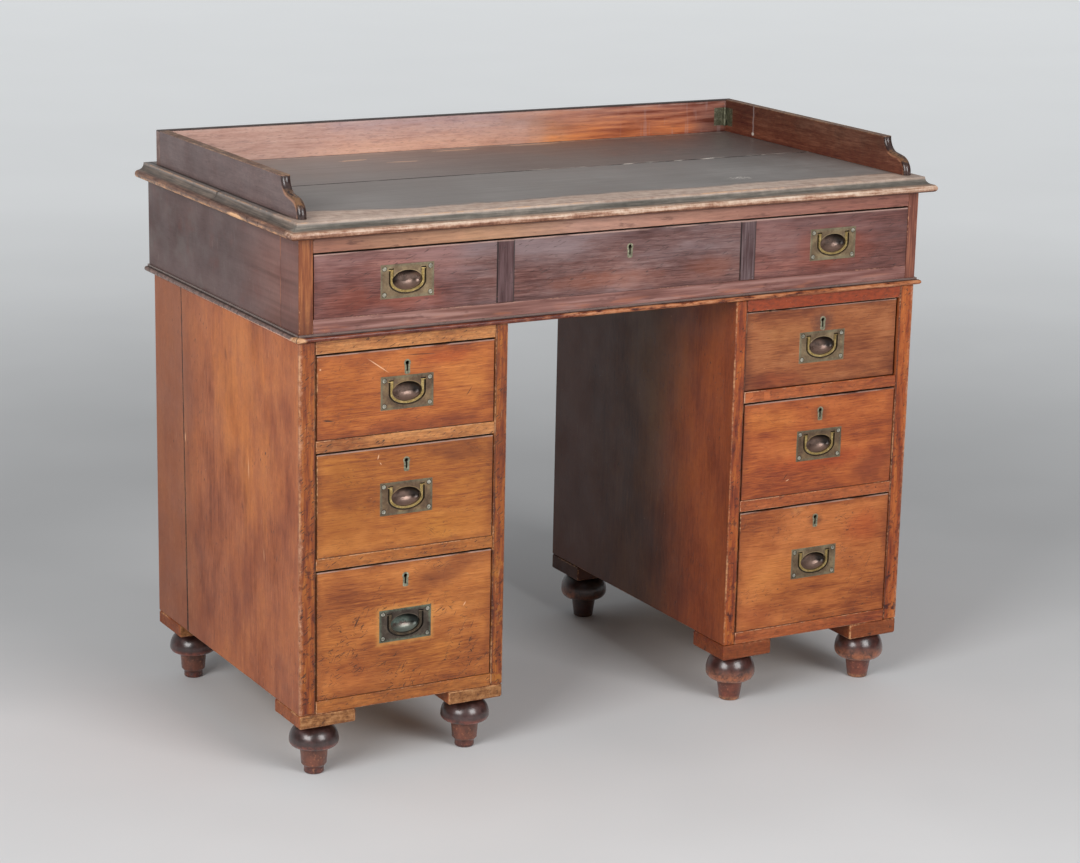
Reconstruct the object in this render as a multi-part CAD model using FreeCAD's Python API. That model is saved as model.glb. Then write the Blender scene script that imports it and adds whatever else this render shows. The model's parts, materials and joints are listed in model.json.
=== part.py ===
import FreeCAD, Part
import math, os
from FreeCAD import Vector as V

# Campaign desk: a top section with one long frieze drawer stands on two loose
# pedestals of three drawers each, on turned feet; a low gallery with hinged
# sides lifts off the top. Millimetres, +Z up, front towards -Y, origin on the
# floor under the middle of the desk.

os.makedirs("parts", exist_ok=True)

# ---------------------------------------------------------------- dimensions
# plan
HALF_W = 505.0            # outer faces of pedestals and top section
KNEE_HALF = 188.0         # inner faces of the pedestals
YF = -264.0               # front plane of the carcasses
PED_DEPTH = 525.0         # pedestal depth
TOP_DEPTH = 545.0         # depth of the top section
TOP_REAR = 547.5          # rear edge of the top boards, from the front plane
# heights
FOOT_H = {-1: 80.0, 1: 76.0}    # turned feet under the corner blocks, left and right
SIDE_Z = 100.0            # lower edge of the pedestal sides
PED_Z = 627.0             # top of the pedestals, underside of the top section
UNDER_Z = 768.5           # underside of the top boards
DESK_Z = 790.5            # writing surface
GALLERY_Z = 842.0         # top of the gallery
# pedestal boards
T_OUT = 25.0              # outer side
T_IN = 20.0               # inner side
T_BACK = 12.0             # back panels
RABBET = 12.0             # width of the rabbet that holds a back panel
RAIL_D = 60.0             # depth of the rails between drawers
EDGE_D = 45.0             # depth of the top and bottom rails
OPENINGS = [("top", 489.0, 609.0), ("middle", 323.0, 472.0), ("bottom", 118.0, 306.0)]
HANDLE_Z = {"top": 545.5, "middle": 396.0, "bottom": 212.5}
KEY_BELOW = 26.0          # keyhole centre below the top edge of a drawer front
BLOCK = 86.0              # square corner block
CRACK_Y0 = 406.5          # shrinkage crack in the left outer side, at its foot
CRACK_LEAN = 12.5         # how far it leans back over the height of the side
CRACK_LOW, CRACK_HIGH = 2.6, 0.9
# drawers
T_FRONT = 20.0
T_BOX = 9.0
T_BOTTOM = 6.0
SIDE_GAP = 1.0            # each side of a drawer front
TOP_GAP = 2.5             # above a drawer front
LOW_GAP = 0.3             # below a drawer front
SET_BACK = {"right_top_drawer": 4.0}   # this one slides in past the rails
SHRUNK = {"right_top_drawer": 1.5}     # and has shrunk away from its right side
PED_BOX = 470.0           # drawer depth behind the front
FRIEZE_BOX = 490.0
# frieze
FR_X0, FR_X1 = -484.0, 487.0
FR_Z0, FR_Z1 = 657.0, 747.0
POST_D = 60.0             # depth of the front corner posts
T_END = 18.0              # end panels
STRIPS = [(-207.0, -182.0), (191.0, 215.0)]   # cross-grain strips on the frieze
STRIP_T = 3.0
STRIP_PROUD = 1.0
FR_HANDLES = [-345.0, 352.5]
FR_HANDLE_Z = 700.0
FR_KEY_X, FR_KEY_Z = 4.5, 715.5
# top edge: half-round nosing with a cove over it (offset from the carcass face)
NOSE_R = 5.6
NOSE_D = 19.5
COVE_D = 5.5
JOINT_Y = 265.5           # open joint between the two top boards
# base moulding of the top section
BASE_LOW, BEAD_H, BASE_H = 0.7, 7.0, 10.8
BASE_D, BASE_STEP = 7.5, 2.4
# gallery
GAL_X = 500.0
GAL_T = 14.0
GAL_REAR = 521.0          # rear face of the back board, from the front plane
GAL_FRONT = 12.0          # front ends of the sides
GAL_LIFT = 0.5            # sides hang clear of the top
LEAF_Z0, LEAF_Z1 = 800.5, 829.5
LEAF_W = 19.0
LEAF_T = 1.5
KNUCKLE_OFF = 2.6         # pin from the faces it turns between
KNUCKLE_R = 2.4
PIN_R = 1.1
# flush handle
PLATE_W, PLATE_H = 80.5, 47.0
PLATE_PROUD, PLATE_IN = 0.4, 2.8
REC_HALF, REC_TOP, REC_DEEP = 28.4, 18.0, 2.0
BAIL_HALF, BAIL_LOW, BAIL_T0, BAIL_T1 = 25.4, 14.9, -0.2, 1.7
PIVOT_Z, PIVOT_Y, PIVOT_R = 15.2, 0.75, 0.75
CUP_A, CUP_B, CUP_Z, CUP_DEEP = 22.0, 13.6, 1.2, 10.6
SCREW_X, SCREW_Z = 34.6, 17.8
# locks
LOCK_HALF, LOCK_H, LOCK_IN = 27.0, 43.0, 11.0
BOLT_HALF, BOLT_L, BOLT_Y0, BOLT_Y1 = 9.0, 26.0, 13.0, 19.0
BOLT_DOWN = 0.3
MORTISE_H = 10.0
# pegs
PEG_R, PEG_UP = 7.0, 11.0

PED_Y1 = YF + PED_DEPTH
TOP_Y1 = YF + TOP_DEPTH


# ------------------------------------------------------------------- helpers
def box(x0, x1, y0, y1, z0, z1):
    x0, x1 = sorted((x0, x1))
    y0, y1 = sorted((y0, y1))
    return Part.makeBox(x1 - x0, y1 - y0, z1 - z0, V(x0, y0, z0))


def cyl(p, axis, r, h):
    return Part.makeCylinder(r, h, V(*p), V(*axis))


def face(points):
    pts = [V(*p) for p in points]
    return Part.Face(Part.makePolygon(pts + [pts[0]]))


def prism_yz(points, x0, x1):
    return face([(x0, y, z) for y, z in points]).extrude(V(x1 - x0, 0, 0))


def prism_xy(points, z0, z1):
    return face([(x, y, z0) for x, y in points]).extrude(V(0, 0, z1 - z0))


def line(a, b):
    return Part.LineSegment(V(*a), V(*b)).toShape()


def arc(a, m, b):
    return Part.Arc(V(*a), V(*m), V(*b)).toShape()


def ellipse_wire(a, b, y, zc):
    e = Part.Ellipse(V(a, y, zc), V(0, y, zc + b), V(0, y, zc))
    return Part.Wire(e.toShape())


def cut(shape, tools):
    tools = [t for t in tools if t is not None]
    return shape.cut(Part.makeCompound(tools)) if tools else shape


def fuse(shapes):
    s = shapes[0]
    for t in shapes[1:]:
        s = s.fuse(t)
    return s.removeSplitter()


def moved(shapes, x, z, y=YF):
    out = []
    for s in shapes:
        c = s.copy()
        c.translate(V(x, y, z))
        out.append(c)
    return out


NODES = {}


def save(name, shapes):
    solids = []
    for s in shapes:
        solids += s.Solids
    if not solids:
        raise RuntimeError("nothing in " + name)
    for s in solids:
        if not s.isValid() or s.Volume <= 0:
            raise RuntimeError("bad solid in " + name)
    shape = solids[0] if len(solids) == 1 else Part.makeCompound(solids)
    shape.exportStep("parts/" + name + ".step")
    NODES[name] = len(solids)


# --------------------------------------------------------- flush brass handle
# Local frame: plate centre at the origin, drawer face in the XZ plane, +Y in.
def u_outline(half, top, low, zc, y0, y1):
    flat = box(-half, half, y0, y1, zc, top)
    e = Part.Ellipse(V(half, y0, zc), V(0, y0, zc + low), V(0, y0, zc)) if half > low else None
    disc = Part.Face(Part.Wire(e.toShape())).extrude(V(0, y1 - y0, 0))
    return flat.fuse(disc.common(box(-half - 1, half + 1, y0, y1, zc - low - 1, zc))).removeSplitter()


def screw_set(turns):
    out = []
    k = 0
    for sx in (-1, 1):
        for sz in (-1, 1):
            p = (sx * SCREW_X, -PLATE_PROUD, sz * SCREW_Z)
            head = Part.makeCone(3.0, 1.3, 1.7, V(*p), V(0, 1, 0))
            shank = cyl((p[0], 1.3, p[2]), (0, 1, 0), 1.3, 10.7)
            s = head.fuse(shank).removeSplitter()
            slot = Part.makeBox(7, 0.7, 0.8, V(-3.5, 0, -0.4))
            slot.rotate(V(0, 0, 0), V(0, 1, 0), turns[k % len(turns)])
            slot.translate(V(*p))
            out.append((s, s.cut(slot)))
            k += 1
    return out


def handle():
    y0, y1 = -PLATE_PROUD, PLATE_IN
    plate = box(-PLATE_W / 2, PLATE_W / 2, y0, y1, -PLATE_H / 2, PLATE_H / 2)
    rim = [e for e in plate.Edges if abs(e.CenterOfMass.y - y0) < 1e-6]
    plate = plate.makeChamfer(0.5, rim)
    recess = u_outline(REC_HALF, REC_TOP, REC_TOP - 0.7, -1.0, y0 - 0.2, REC_DEEP)
    tongue = box(-20.4, 20.4, y0 - 0.3, REC_DEEP + 0.1, CUP_Z, REC_TOP + 0.1)
    recess = recess.cut(tongue)
    # dished finger cup behind the plate
    shell = Part.makeLoft([ellipse_wire(CUP_A + 1.6, CUP_B + 1.6, y1 - 1.0, CUP_Z),
                           ellipse_wire(CUP_A - 6.0, CUP_B - 5.0, CUP_DEEP + 1.2, CUP_Z)], True, True)
    hollow = Part.makeLoft([ellipse_wire(CUP_A, CUP_B, 1.0, CUP_Z),
                            ellipse_wire(CUP_A - 1.7, CUP_B - 1.5, 5.0, CUP_Z),
                            ellipse_wire(CUP_A - 6.4, CUP_B - 5.2, 8.6, CUP_Z),
                            ellipse_wire(CUP_A - 14.0, CUP_B - 9.4, CUP_DEEP, CUP_Z)], True, False)
    mouth = Part.Face(ellipse_wire(CUP_A, CUP_B, y0 - 1.0, CUP_Z)).extrude(V(0, 2.0 - y0, 0))
    body = plate.fuse(shell).removeSplitter()
    holes = [recess, mouth, hollow]
    for s in (-1, 1):
        holes.append(cyl((s * REC_HALF - s * 0.2, PIVOT_Y, PIVOT_Z), (s, 0, 0), PIVOT_R + 0.06, 3.4))
    screws = screw_set([20, 75, -35, 50])
    holes += [full for full, _ in screws]
    body = cut(body, holes)
    bail_out = u_outline(BAIL_HALF, PIVOT_Z, BAIL_LOW, -1.0, BAIL_T0, BAIL_T1)
    gap = Part.Face(ellipse_wire(22.8, 14.3, BAIL_T0 - 1, CUP_Z)).extrude(V(0, 5, 0))
    gap = gap.fuse(box(-21.2, 21.2, BAIL_T0 - 1, BAIL_T0 + 4, CUP_Z, 30))
    bail = bail_out.cut(gap)
    bits = [bail]
    for s in (-1, 1):
        bits.append(cyl((s * 21.2, PIVOT_Y, PIVOT_Z), (s, 0, 0), (BAIL_T1 - BAIL_T0) / 2, BAIL_HALF - 21.2))
        bits.append(cyl((s * (BAIL_HALF - 1.0), PIVOT_Y, PIVOT_Z), (s, 0, 0), PIVOT_R, REC_HALF + 2.7 - BAIL_HALF + 1.0))
    bail = fuse(bits)
    pocket_plate = box(-PLATE_W / 2, PLATE_W / 2, 0, y1, -PLATE_H / 2, PLATE_H / 2)
    pocket_cup = Part.Face(ellipse_wire(CUP_A + 2.4, CUP_B + 2.4, y1 - 0.5, CUP_Z)).extrude(V(0, CUP_DEEP + 2.0 - y1, 0))
    pockets = [pocket_plate, pocket_cup] + [full for full, _ in screws]
    return body, [s for _, s in screws], bail, pockets


def escutcheon():
    # keyhole plate let into the front; centre of its height at the origin
    def shape(r, zc, half, low, y0, y1):
        c = cyl((0, y0, zc), (0, 1, 0), r, y1 - y0)
        b = box(-half, half, y0, y1, low, zc)
        corners = [e for e in b.Edges if abs(e.BoundBox.YLength - (y1 - y0)) < 1e-6 and abs(e.CenterOfMass.z - low) < 1e-6]
        b = b.makeFillet(half * 0.6, corners)
        return c.fuse(b).removeSplitter()
    outer = shape(5.2, 5.3, 4.2, -10.5, -0.2, 2.0)
    pocket = shape(5.2, 5.3, 4.2, -10.5, 0.0, 2.0)
    hole = shape(2.9, 5.3, 1.4, -6.5, -1.0, BOLT_Y0 - 0.4)
    return outer.cut(hole), pocket, hole


PLATE, SCREWS, BAIL, POCKETS = handle()
ESC, ESC_POCKET, KEYHOLE = escutcheon()


# -------------------------------------------------------------------- drawers
def drawer(prefix, x0, x1, z0, z1, handles, hz, key, depth, frieze=False):
    fx0, fx1 = x0 + SIDE_GAP, x1 - SIDE_GAP - SHRUNK.get(prefix, 0.0)
    fz0, fz1 = z0 + LOW_GAP, z1 - TOP_GAP
    front = box(fx0, fx1, YF, YF + T_FRONT, fz0, fz1)
    yb = YF + T_FRONT                       # back of the front
    ye = yb + depth                         # rear end of the sides
    sz1 = z1 - 14.0                         # top of the sides
    bz0 = z0 + 8.0                          # underside of the bottom
    bz1 = bz0 + T_BOTTOM
    # sides with lapped dovetails into the front
    n = max(2, int(round((sz1 - fz0) / 42.0)))
    pitch = (sz1 - fz0) / n
    sides, tails = [], []
    for sx0, sx1 in ((fx0 + 0.8, fx0 + 0.8 + T_BOX), (fx1 - 0.8 - T_BOX, fx1 - 0.8)):
        s = box(sx0, sx1, yb, ye, fz0, sz1)
        for i in range(n):
            zc = fz0 + pitch * (i + 0.5)
            r, e = 0.27 * pitch, 0.35 * pitch
            t = prism_yz([(yb, zc - r), (yb, zc + r), (yb - 11.0, zc + e), (yb - 11.0, zc - e)], sx0, sx1)
            tails.append(t)
            s = s.fuse(t)
        sides.append(s.removeSplitter())
    ix0, ix1 = fx0 + 0.8 + T_BOX, fx1 - 0.8 - T_BOX      # inside width
    back = box(ix0 - 4, ix1 + 4, ye - 8 - T_BOX, ye - 8, bz1, sz1 - 4)
    if frieze:
        mid = 0.5 * (ix0 + ix1)
        muntin = box(mid - 20, mid + 20, yb, ye - 2, bz0 - 3, bz1 + 3)
        halves = [box(ix0 - 4, mid - 16, yb - 4, ye - 2, bz0, bz1), box(mid + 16, ix1 + 4, yb - 4, ye - 2, bz0, bz1)]
        muntin = cut(muntin, halves + [back])
        bottoms = halves
        extra = [muntin]
        grooves = halves
    else:
        bottoms = [box(ix0 - 4, ix1 + 4, yb - 4, ye - 2, bz0, bz1)]
        extra, grooves = [], bottoms
    sides = [cut(s, grooves + [back]) for s in sides]
    # hardware
    plates, screws, bails, tools = [], [], [], list(tails) + list(grooves)
    for hx in handles:
        plates += moved([PLATE], hx, hz)
        screws += moved(SCREWS, hx, hz)
        bails += moved([BAIL], hx, hz)
        tools += moved(POCKETS, hx, hz)
    kx, kz = key
    esc = moved([ESC], kx, kz)
    tools += moved([ESC_POCKET, KEYHOLE], kx, kz)
    case = box(kx - LOCK_HALF, kx + LOCK_HALF, YF + LOCK_IN, yb, fz1 - LOCK_H, fz1)
    tools.append(case)
    room = box(kx - BOLT_HALF - 0.2, kx + BOLT_HALF + 0.2, YF + BOLT_Y0 - 0.2, YF + BOLT_Y1 + 0.2, fz1 - 34.0, fz1 + 1)
    case = cut(case, [room] + moved([KEYHOLE], kx, kz))
    bolt = box(kx - BOLT_HALF, kx + BOLT_HALF, YF + BOLT_Y0, YF + BOLT_Y1, fz1 - BOLT_DOWN - BOLT_L, fz1 - BOLT_DOWN)
    inlays = []
    if frieze:
        for a, b in STRIPS:
            inlays.append(box(a, b, YF - STRIP_PROUD, YF - STRIP_PROUD + STRIP_T, fz0, fz1))
        tools += inlays
    front = cut(front, tools)
    dy = SET_BACK.get(prefix, 0.0)
    for s in {id(s): s for s in [front, back, case, bolt] + inlays + sides + bottoms + extra + plates + screws + esc + bails}.values():
        s.translate(V(0, dy, 0))
    save(prefix + "_front", [front] + inlays)
    save(prefix + "_box", sides + [back] + bottoms + extra)
    save(prefix + "_brass", plates + screws + esc + [case])
    if frieze:
        save(prefix + "_left_bail", [bails[0]])
        save(prefix + "_right_bail", [bails[1]])
    else:
        save(prefix + "_bail", bails)
    save(prefix + "_lock_bolt", [bolt])


def mortise(kx, z, dy=0.0):
    return box(kx - BOLT_HALF - 0.8, kx + BOLT_HALF + 0.8, YF + BOLT_Y0 - 0.8 + dy, YF + BOLT_Y1 + 0.8 + dy, z - 1, z + MORTISE_H)


# ------------------------------------------------------------------ pedestals
def turned(points):
    edges = []
    for seg in points:
        pts = [(r, 0, z) for r, z in seg]
        edges.append(line(*pts) if len(pts) == 2 else arc(*pts))
    return Part.Face(Part.Wire(edges)).revolve(V(0, 0, 0), V(0, 0, 1), 360)


def foot(s):
    h = FOOT_H[s]
    tenon = h + 18.0
    if s < 0:
        seg = [[(0, 0), (11.6, 0)], [(11.6, 0), (13.4, 0.8), (14.2, 2.6)], [(14.2, 2.6), (14.0, 9.5)],
               [(14.0, 9.5), (18.0, 14.0)], [(18.0, 14.0), (20.0, 40.6)], [(20.0, 40.6), (26.0, 41.2)],
               [(26.0, 41.2), (33.2, 43.4), (35.2, 48.4)], [(35.2, 48.4), (28.2, 67.6), (14.0, 76.0)],
               [(14.0, 76.0), (14.0, h)]]
        r = 14.0
    else:
        seg = [[(0, 0), (13.4, 0)], [(13.4, 0), (15.2, 0.9), (15.8, 3.0)], [(15.8, 3.0), (19.8, 31.6)],
               [(19.8, 31.6), (25.5, 32.2)], [(25.5, 32.2), (34.0, 36.2), (37.3, 44.6)],
               [(37.3, 44.6), (33.6, 62.6), (22.6, h)]]
        r = 22.6
    seg += [[(r, h), (11.0, h)], [(11.0, h), (11.0, tenon)], [(11.0, tenon), (0, tenon)], [(0, tenon), (0, 0)]]
    return turned(seg)


def pedestal(name, s):
    out0, in0 = s * HALF_W, s * KNEE_HALF
    ox, ix = s * (HALF_W - T_OUT), s * (KNEE_HALF + T_IN)      # sides of the opening
    xl, xr = sorted((ox, ix))
    cx = 0.5 * (xl + xr)
    yb0 = PED_Y1 - T_BACK
    # sides, rabbeted for the back
    rab_o = box(ox, ox + s * RABBET, yb0, PED_Y1 + 1, SIDE_Z - 1, PED_Z + 1)
    rab_i = box(ix, ix - s * RABBET, yb0, PED_Y1 + 1, SIDE_Z - 1, PED_Z + 1)
    outer = box(out0, ox, YF, PED_Y1, SIDE_Z, PED_Z)
    if s < 0:
        # two boards with a shrinkage crack that opens towards the foot
        yl, yh = YF + CRACK_Y0, YF + CRACK_Y0 + CRACK_LEAN
        gap = prism_yz([(yl - CRACK_LOW / 2, SIDE_Z - 1), (yl + CRACK_LOW / 2, SIDE_Z - 1),
                        (yh + CRACK_HIGH / 2, PED_Z + 1), (yh - CRACK_HIGH / 2, PED_Z + 1)], -HALF_W - 5, -HALF_W + T_OUT + 5)
        outer = outer.cut(gap)
    sides = cut(outer, [rab_o]).Solids + [cut(box(ix, in0, YF, PED_Y1, SIDE_Z, PED_Z), [rab_i])]
    save(name + "_sides", sides)
    # back of two boards
    bl, br = sorted((ox + s * RABBET, ix - s * RABBET))
    bm = 0.5 * (bl + br) + 9.0
    save(name + "_back", [box(bl, bm - 0.4, yb0, PED_Y1, SIDE_Z, PED_Z), box(bm + 0.4, br, yb0, PED_Y1, SIDE_Z, PED_Z)])
    # front rails with lock mortises, and drawer stops behind the fronts
    pull_back = {z0: SET_BACK.get(name.replace("pedestal", level + "_drawer"), 0.0) for level, z0, _ in OPENINGS}
    rails = [cut(box(xl, xr, YF, YF + EDGE_D, 609.0, PED_Z), [mortise(cx, 609.0, pull_back[489.0])]),
             cut(box(xl, xr, YF, YF + RAIL_D, 472.0, 489.0), [mortise(cx, 472.0)]),
             cut(box(xl, xr, YF, YF + RAIL_D, 306.0, 323.0), [mortise(cx, 306.0)]),
             box(xl, xr, YF, YF + EDGE_D, SIDE_Z, 118.0)]
    for _, z0, _ in OPENINGS:
        for fx in (0.17, 0.83):
            c = xl + fx * (xr - xl)
            rails.append(box(c - 13, c + 13, YF + T_FRONT + 0.3 + pull_back[z0], YF + EDGE_D - 3.0, z0, z0 + 5.0))
    save(name + "_front_rails", rails)
    # boards and runners inside, with the pegs that locate the top section
    y0 = YF + EDGE_D
    topb = box(xl, xr, y0, yb0, 616.0, PED_Z)
    pegs = [cyl((cx, YF + d, 616.0), (0, 0, 1), PEG_R, PED_Z - 616.0 + PEG_UP) for d in (130.0, 400.0)]
    boards = [cut(topb, pegs), box(xl, xr, y0, yb0, SIDE_Z, 112.0)] + pegs
    w = 22.0
    for z0, z1, ya in ((306.0, 323.0, YF + RAIL_D), (472.0, 489.0, YF + RAIL_D), (112.0, 118.0, y0), (609.0, 616.0, y0)):
        boards += [box(xl, xl + w, ya, yb0, z0, z1), box(xr - w, xr, ya, yb0, z0, z1)]
    save(name + "_inner_boards", boards)
    # corner blocks and feet
    blocks, feet = [], []
    inset = 39.5
    shape = foot(s)
    fh = FOOT_H[s]
    for xa, sx in ((out0, -s), (in0, s)):
        for ya, sy in ((YF, 1), (PED_Y1, -1)):
            b = box(xa, xa + sx * BLOCK, ya, ya + sy * BLOCK, fh, SIDE_Z)
            fx, fy = xa + sx * inset, ya + sy * inset
            blocks.append(b.cut(cyl((fx, fy, fh - 1), (0, 0, 1), 11.1, 19.5)))
            f = shape.copy()
            f.translate(V(fx, fy, 0))
            feet.append(f)
    save(name + "_corner_blocks", blocks)
    save(name + "_feet", feet)
    return xl, xr, cx


for side, s in (("left", -1), ("right", 1)):
    xl, xr, cx = pedestal(side + "_pedestal", s)
    for level, z0, z1 in OPENINGS:
        drawer("%s_%s_drawer" % (side, level), xl, xr, z0, z1, [cx], HANDLE_Z[level],
               (cx, z1 - TOP_GAP - KEY_BELOW), PED_BOX)

drawer("frieze_drawer", FR_X0, FR_X1, FR_Z0, FR_Z1, FR_HANDLES, FR_HANDLE_Z, (FR_KEY_X, FR_KEY_Z), FRIEZE_BOX, True)

# ---------------------------------------------------------------- top section
# front corner posts and end panels
ends = []
for x_out, x_in in ((-HALF_W, FR_X0), (HALF_W, FR_X1)):
    s = 1 if x_out > 0 else -1
    ends.append(box(x_out, x_in, YF, YF + POST_D, PED_Z, UNDER_Z))
    panel = box(x_out, x_out - s * T_END, YF + POST_D + 0.5, TOP_Y1, PED_Z, UNDER_Z)
    ends.append(panel)
save("top_end_panels", ends)
pi = HALF_W - T_END
save("top_back_panel", [box(-pi, -6.4, TOP_Y1 - T_BACK, TOP_Y1, PED_Z, UNDER_Z), box(-5.6, pi, TOP_Y1 - T_BACK, TOP_Y1, PED_Z, UNDER_Z)])
save("top_front_rails", [cut(box(FR_X0, FR_X1, YF, YF + 50.0, FR_Z1, UNDER_Z), [mortise(FR_KEY_X, FR_Z1)]),
                         box(FR_X0, FR_X1, YF, YF + 50.0, PED_Z, FR_Z0),
                         box(-300, -270, YF + T_FRONT + 0.3, YF + 45.0, FR_Z0, FR_Z0 + 5.0),
                         box(270, 300, YF + T_FRONT + 0.3, YF + 45.0, FR_Z0, FR_Z0 + 5.0)])
# bottom boards over the pedestals and the kneehole, runners and kickers
yr0, yr1 = YF + POST_D + 0.5, TOP_Y1 - T_BACK
peg_cx = 0.5 * (KNEE_HALF + T_IN + HALF_W - T_OUT)
bottom = box(-pi, pi, yr0, yr1, PED_Z, 646.0)
bottom = cut(bottom, [cyl((sx * peg_cx, YF + d, PED_Z - 1), (0, 0, 1), PEG_R + 0.5, 14.0) for sx in (-1, 1) for d in (130.0, 400.0)])
runners = [bottom]
for a, b in ((-pi, FR_X0 + 20.0), (FR_X1 - 20.0, pi)):
    runners += [box(a, b, yr0, yr1, 646.0, FR_Z0), box(a, b, yr0, yr1, FR_Z1, UNDER_Z)]
runners.append(box(-25, 25, yr0, yr1, FR_Z1, UNDER_Z))
save("top_runners", runners)

# base moulding: a half-round bead under a small square, mitred round the front and both ends
def bead(profile_at):
    c, t = BASE_D - BEAD_H / 2, BASE_LOW + BEAD_H
    p = [(0, BASE_LOW), (c, BASE_LOW), (BASE_D, BASE_LOW + BEAD_H / 2), (c, t), (BASE_STEP, t), (BASE_STEP, BASE_H), (0, BASE_H)]
    q = [profile_at(d, PED_Z + h) for d, h in p]
    return Part.Face(Part.Wire([line(q[0], q[1]), arc(q[1], q[2], q[3]), line(q[3], q[4]), line(q[4], q[5]), line(q[5], q[6]), line(q[6], q[0])]))


m = 30.0
front_bead = bead(lambda d, z: (-HALF_W - m, YF - d, z)).extrude(V(2 * (HALF_W + m), 0, 0))
front_bead = front_bead.common(prism_xy([(-HALF_W, YF), (HALF_W, YF), (HALF_W + m, YF - m), (-HALF_W - m, YF - m)], PED_Z - 1, PED_Z + BASE_H + 1))
beads = [front_bead]
for s in (-1, 1):
    b = bead(lambda d, z: (s * (HALF_W + d), YF - m, z)).extrude(V(0, TOP_DEPTH + m, 0))
    beads.append(b.common(prism_xy([(s * HALF_W, YF), (s * HALF_W, TOP_Y1), (s * (HALF_W + m), TOP_Y1), (s * (HALF_W + m), YF - m)], PED_Z - 1, PED_Z + BASE_H + 1)))
save("top_base_moulding", beads)

# top boards: nosing and cove worked on the front and both ends
def top_profile(at, rear=None):
    # from the underside, round the nosing and up the cove to the flat
    c = NOSE_D - NOSE_R
    zt = UNDER_Z + 2 * NOSE_R
    k = math.sqrt(0.5)
    a, b = c - COVE_D, DESK_Z - zt
    pts = dict(n0=(c, UNDER_Z), n1=(NOSE_D, UNDER_Z + NOSE_R), n2=(c, zt),
               c1=(c - a * k, DESK_Z - b * k), c2=(COVE_D, DESK_Z))
    q = {key: at(*p) for key, p in pts.items()}
    return [arc(q["n0"], q["n1"], q["n2"]), arc(q["n2"], q["c1"], q["c2"])], q["n0"], q["c2"]


e, low, high = top_profile(lambda d, z: (-600.0, YF - d, z))
r0, r1 = (-600.0, YF + TOP_REAR, UNDER_Z), (-600.0, YF + TOP_REAR, DESK_Z)
along = Part.Face(Part.Wire(e + [line(high, r1), line(r1, r0), line(r0, low)])).extrude(V(600, 0, 0))
# waste outside the moulded left end, from well below to well above the board
e, low, high = top_profile(lambda d, z: (-HALF_W - d, -400.0, z))
w = [(-HALF_W - COVE_D, -400.0, DESK_Z + 9.0), (-700.0, -400.0, DESK_Z + 9.0),
     (-700.0, -400.0, UNDER_Z - 9.0), (-HALF_W - NOSE_D + NOSE_R, -400.0, UNDER_Z - 9.0)]
waste = Part.Face(Part.Wire(e + [line(high, w[0]), line(w[0], w[1]), line(w[1], w[2]), line(w[2], w[3]), line(w[3], low)]))
half = along.cut(waste.extrude(V(0, 800, 0)))
top = half.fuse(half.mirror(V(0, 0, 0), V(1, 0, 0))).removeSplitter()
jy = YF + JOINT_Y
seam = prism_xy([(-560, jy - 0.6), (560, jy - 1.7), (560, jy + 1.7), (-560, jy + 0.6)], UNDER_Z - 1, DESK_Z + 1)
gy1 = YF + GAL_REAR                 # gallery back board, rear face
gy0 = gy1 - GAL_T                   # and inner face
peg_xs = (-350.0, 0.0, 350.0)
peg_y = 0.5 * (gy0 + gy1)
holes = [cyl((px, peg_y, DESK_Z - 12.0), (0, 0, 1), 4.4, 13.0) for px in peg_xs]
top = cut(top, [seam] + holes)
save("desk_top_boards", top.Solids)

# -------------------------------------------------------------------- gallery
pegs = [cyl((px, peg_y, DESK_Z - 11.0), (0, 0, 1), 4.0, 35.0) for px in peg_xs]
back = box(-GAL_X, GAL_X, gy0, gy1, DESK_Z, GALLERY_Z)
back = back.makeFillet(2.2, [ed for ed in back.Edges if abs(ed.CenterOfMass.z - GALLERY_Z) < 1e-6 and ed.Length > 500])
gx_in = GAL_X - GAL_T
fixed, moving = [], {}
for s in (-1, 1):
    px, py = s * (gx_in - KNUCKLE_OFF), gy0 - KNUCKLE_OFF
    third = (LEAF_Z1 - LEAF_Z0) / 3.0
    za, zb = LEAF_Z0 + third, LEAF_Z1 - third
    leaf_b = box(px - s * LEAF_W, px, gy0, gy0 + LEAF_T, LEAF_Z0, LEAF_Z1)
    leaf_s = box(s * gx_in, s * (gx_in + LEAF_T), py - LEAF_W, py, LEAF_Z0, LEAF_Z1)
    bits = [leaf_b]
    for z0, z1 in ((LEAF_Z0, za - 0.1), (zb + 0.1, LEAF_Z1)):
        bits.append(cyl((px, py, z0), (0, 0, 1), KNUCKLE_R, z1 - z0))
        bits.append(box(px - s * 2.0, px, py, gy0, z0, z1))
    body = fuse(bits).cut(cyl((px, py, LEAF_Z0 - 1), (0, 0, 1), PIN_R, LEAF_Z1 - LEAF_Z0 + 2))
    fixed += [body, cyl((px, py, LEAF_Z0 - 0.5), (0, 0, 1), PIN_R, LEAF_Z1 - LEAF_Z0 + 1.0)]
    knob = cyl((px, py, za), (0, 0, 1), KNUCKLE_R, zb - za)
    web = box(px, s * gx_in, py - 2.0, py, za, zb)
    leaf = fuse([leaf_s, knob, web]).cut(cyl((px, py, LEAF_Z0 - 1), (0, 0, 1), PIN_R + 0.06, LEAF_Z1 - LEAF_Z0 + 2))
    back = back.cut(leaf_b)
    moving[s] = (leaf, leaf_s)
back = cut(back, pegs)
save("gallery_back_board", [back] + pegs)
save("gallery_hinge_fixed_leaves", fixed)


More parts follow.
